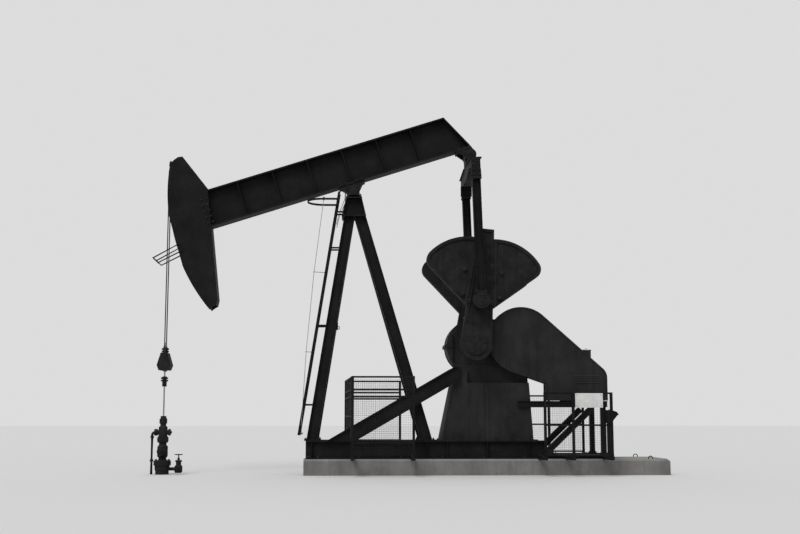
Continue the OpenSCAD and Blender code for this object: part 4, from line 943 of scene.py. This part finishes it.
# Carrier bar and polished rod
# A forged bar hangs on the two ropes by poured sockets and lifts the rod by a bolted clamp on its top.
# The rod is ground bright steel, has a second clamp below the bar and slides through the stuffing box.
dress(cast, "carrier_bar", "rod_clamp")
well = Vector((-head_radius, 0, 0))
hangers = bmesh.new()
for y in (-rope_side, rope_side):
    lathe(hangers, [(0.032, -0.01), (0.032, 0.07), (0.021, 0.17), (0.0165, 0.175)],
          (well.x, y, carrier_high.z), up, 24)
    bar(hangers, (well.x, y, carrier_low.z - 0.03), (well.x, y, carrier_low.z + 0.01), 0.03, 6)
lug_half = Vector((0.03, 0.022, 0.02))
for middle, radius in ((carrier_high.z + 0.065, 0.062), (carrier_low.z - 0.22, 0.055)):
    for z in (middle - 0.03, middle + 0.03):
        for way in (-1, 1):
            lug = Vector((well.x + way * 0.055, 0, z))
            block(hangers, lug - lug_half, lug + lug_half)
            for out in (-1, 1):
                bolt(hangers, (well.x + way * (radius + 0.006), out * lug_half.y, z), (0, out, 0), 0.022)
piece("rod_clamp_bolts", hangers, bolt_steel, "rod")
rod_low, rod_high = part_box("polished_rod")
rod = bmesh.new()
rod_r, chamfer, rod_cuts = 0.019, 0.004, 60
rod_step = (rod_high.z - rod_low.z - 2 * chamfer) / rod_cuts
rod_turned = [(rod_r, rod_low.z + chamfer + k * rod_step) for k in range(rod_cuts + 1)]
lathe(rod, [(0.0185, rod_low.z), *rod_turned, (0.0185, rod_high.z)], well, sides=20)
made = piece("polished_rod_bar", rod, bright, None)
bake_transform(made)
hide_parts("polished_rod")


# Wellhead
# A casing head, a gate valve and a stuffing box are stacked in flanges, with a flow pipe and side valve.
# The flanges are drawn together by studs, and the valves have spoked handwheels.
def over_well(x, y, z):
    """A place by its distance from the well's axis at ground level."""
    return well + Vector((x, y, z))


casing = bmesh.new()
lathe(casing, [(0.16, 0), (0.16, 0.09), (0.178, 0.11), (0.178, 0.215), (0.205, 0.215), (0.205, 0.27),
               (0.03, 0.27)], well)
piece("casing_spool", casing, cast, "root", "casing_head")
valve = bmesh.new()
bore, valve_z, outlet_z = 0.025, 0.55, 1.0
lathe(valve, [(bore, 0.27), (0.205, 0.27), (0.205, 0.325), (0.09, 0.345), (0.09, 0.39), (0.125, 0.43),
              (0.125, 0.66), (0.09, 0.7), (0.09, 0.78), (0.135, 0.78), (0.135, 0.83), (bore, 0.83)],
      well, closed=True)
lathe(valve, [(0.062, 0.045), (0.062, 0.15), (0.085, 0.152), (0.085, 0.178), (0.05, 0.195), (0.016, 0.2),
              (0.016, 0.275)], over_well(0, 0, valve_z), (0, -1, 0), 32)


def handwheel(shape, centre, axis):
    """Adds a spoked handwheel."""
    wheel_r = 0.085
    loop(shape, centre, axis, wheel_r, 0.011)
    lathe(shape, [(0.024, -0.012), (0.026, 0), (0.024, 0.012)], centre, axis, 20)
    for k in range(5):
        bar(shape, centre, centre + facing(axis) @ on_circle(wheel_r, 2 * math.pi * k / 5), 0.007)


handwheel(valve, over_well(0, -0.26, valve_z), (0, -1, 0))
piece("tubing_gate_valve", valve, cast, "root", "tubing_valve")
stuffing = bmesh.new()
gland_r = 0.0196
lathe(stuffing, [(gland_r, 0.83), (0.135, 0.83), (0.135, 0.875), (0.105, 0.88), (0.105, 1.12),
                 (0.07, 1.16), (0.07, 1.2), (0.092, 1.215), (0.092, 1.32), (0.067, 1.335), (0.067, 1.39),
                 (gland_r, 1.39)], well, closed=True)
for way in (-1, 1):
    lathe(stuffing, [(0.058, 0.09), (0.058, 0.138), (0.08, 0.14), (0.08, 0.18)],
          over_well(0, 0, outlet_z), (way, 0, 0), 32)
bar(stuffing, over_well(0.18, 0, outlet_z), over_well(0.21, 0, outlet_z), 0.03, 6)
piece("stuffing_box_body", stuffing, cast, "root", "stuffing_box")
flow = bmesh.new()
bend_r, flow_x, turns = 0.065, -0.192, [math.pi * k / 16 for k in range(9)]
bend = [over_well(flow_x - bend_r * math.sin(a), 0, outlet_z - bend_r * (1 - math.cos(a))) for a in turns]
pipe(flow, [over_well(flow_x, 0, outlet_z), *bend, over_well(flow_x - bend_r, 0, 0)], 0.03, 24)
for z in (0.86, 0.3):
    lathe(flow, [(0.032, 0), (0.042, 0.006), (0.042, 0.054), (0.032, 0.06)],
          over_well(flow_x - bend_r, 0, z), sides=8)
lathe(flow, [(0.08, 0.0), (0.08, 0.022), (0.03, 0.03)], over_well(-0.18, 0, outlet_z), (-1, 0, 0), 32)
piece("flow_pipe", flow, cast, "root", "flow_line")
side_valve = bmesh.new()
side_at = over_well(0.39, 0, 0.13)
lathe(side_valve, [(0.07, -0.095), (0.095, -0.06), (0.095, 0.06), (0.062, 0.095), (0.062, 0.165),
                   (0.082, 0.17), (0.082, 0.195), (0.03, 0.205), (0.03, 0.26), (0.014, 0.265),
                   (0.014, 0.34)], side_at)
lathe(side_valve, [(0.04, -0.215), (0.04, -0.09), (0.08, -0.085), (0.08, 0.085), (0.04, 0.09)],
      side_at, (1, 0, 0), 32)
handwheel(side_valve, side_at + Vector((0, 0, 0.34)), up)
piece("casing_side_valve", side_valve, cast, "root", "casing_valve")
flange_studs = bmesh.new()
for radius, low, high, across in ((0.168, 0.215, 0.325, 0.03), (0.113, 0.78, 0.875, 0.022)):
    bolt_ring(flange_studs, over_well(0, 0, high), up, radius, 8, across)
    bolt_ring(flange_studs, over_well(0, 0, low), down, radius, 8, across)
for way in (-1, 1):
    bolt_ring(flange_studs, over_well(way * 0.14, 0, outlet_z), (-way, 0, 0), 0.066, 6, 0.014)
bolt_ring(flange_studs, over_well(0, -0.178, valve_z), (0, -1, 0), 0.07, 6, 0.016)
bolt_ring(flange_studs, side_at + Vector((0, 0, 0.195)), up, 0.066, 6, 0.016)
bolt_ring(flange_studs, over_well(0, 0, 1.32), up, 0.078, 3, 0.018)
piece("wellhead_studs", flange_studs, bolt_steel, "root")


# Fences
# Square steel posts and rails on arms bolted to the base, filled in with welded wire mesh.
# The mesh is galvanised and painted over with the rest.
dress(black, "fence_front_near", "fence_front_far", "fence_front_end", "fence_rear_near",
      "fence_rear_far", "fence_outriggers")
wire = weathered("mesh_wire", (0.02, 0.02, 0.02), (0.05, 0.05, 0.049), 0.1, 0.5, metal=0.4, runs=0.2,
                 dust=0.1, grain=300.0, relief=0.0004, dust_tone=(0.05, 0.05, 0.049))
mesh_pitch, wire_r = 0.05, 0.0016


def wire_mesh(shape, start, end, low, high):
    """Adds a welded mesh of square wires between two upright edges."""
    start, end = Vector(start), Vector(end)
    run = end - start
    count, rows = int(run.length / mesh_pitch), int((high - low) / mesh_pitch)
    for k in range(1, count):
        foot = start + run * k / count
        bar(shape, foot + Vector((0, 0, low)), foot + Vector((0, 0, high)), wire_r, 4)
    for k in range(1, rows):
        z = Vector((0, 0, low + (high - low) * k / rows))
        bar(shape, start + z, end + z, wire_r, 4)


for name in ("fence_front_near", "fence_front_far", "fence_rear_near", "fence_rear_far"):
    low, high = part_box(name)
    middle = (low.y + high.y) / 2
    screen = bmesh.new()
    wire_mesh(screen, (low.x + 0.055, middle, 0), (high.x - 0.055, middle, 0), low.z + 0.01, high.z - 0.03)
    piece(name + "_mesh", screen, wire, "root")
front_near, front_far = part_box("fence_front_near"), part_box("fence_front_far")
screen = bmesh.new()
wire_mesh(screen, (front_near[0].x + 0.03, front_near[1].y, 0), (front_far[0].x + 0.03, front_far[0].y, 0),
          front_near[0].z + 0.4, front_near[1].z - 0.03)
piece("fence_front_end_mesh", screen, wire, "root")
clamps = bmesh.new()
arm_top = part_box("fence_outriggers")[1].z
for side, front in ((-1, (0.0, 1.4)), (1, (-0.19, 1.21))):
    bolts(clamps, (*front, 4.43, 5.08, 5.97), (side * 1.6, side * 0.74), [arm_top], up, 0.024)
piece("fence_arm_bolts", clamps, bolt_steel, "root")


# Sign plate
# A bare white enamelled steel plate on the rear fence, facing the near side.
# It is screwed to the fence's post and rail at its four corners.
sign_white = weathered("white_enamel", (0.5, 0.5, 0.49), (0.66, 0.66, 0.65), 0.3, 0.35, shine=0.4,
                       runs=0.25, dust=0.1, grain=60.0, relief=0.0005, dust_tone=(0.4, 0.4, 0.39))
dress(sign_white, "sign_plate")
sign_low, sign_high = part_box("sign_plate")
screw_in = 0.04
screws = bmesh.new()
bolts(screws, (sign_low.x + screw_in, sign_high.x - screw_in), [sign_low.y],
      (sign_low.z + screw_in, sign_high.z - screw_in), (0, -1, 0), 0.012)
piece("sign_screws", screws, bolt_steel, "root")

low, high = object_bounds()
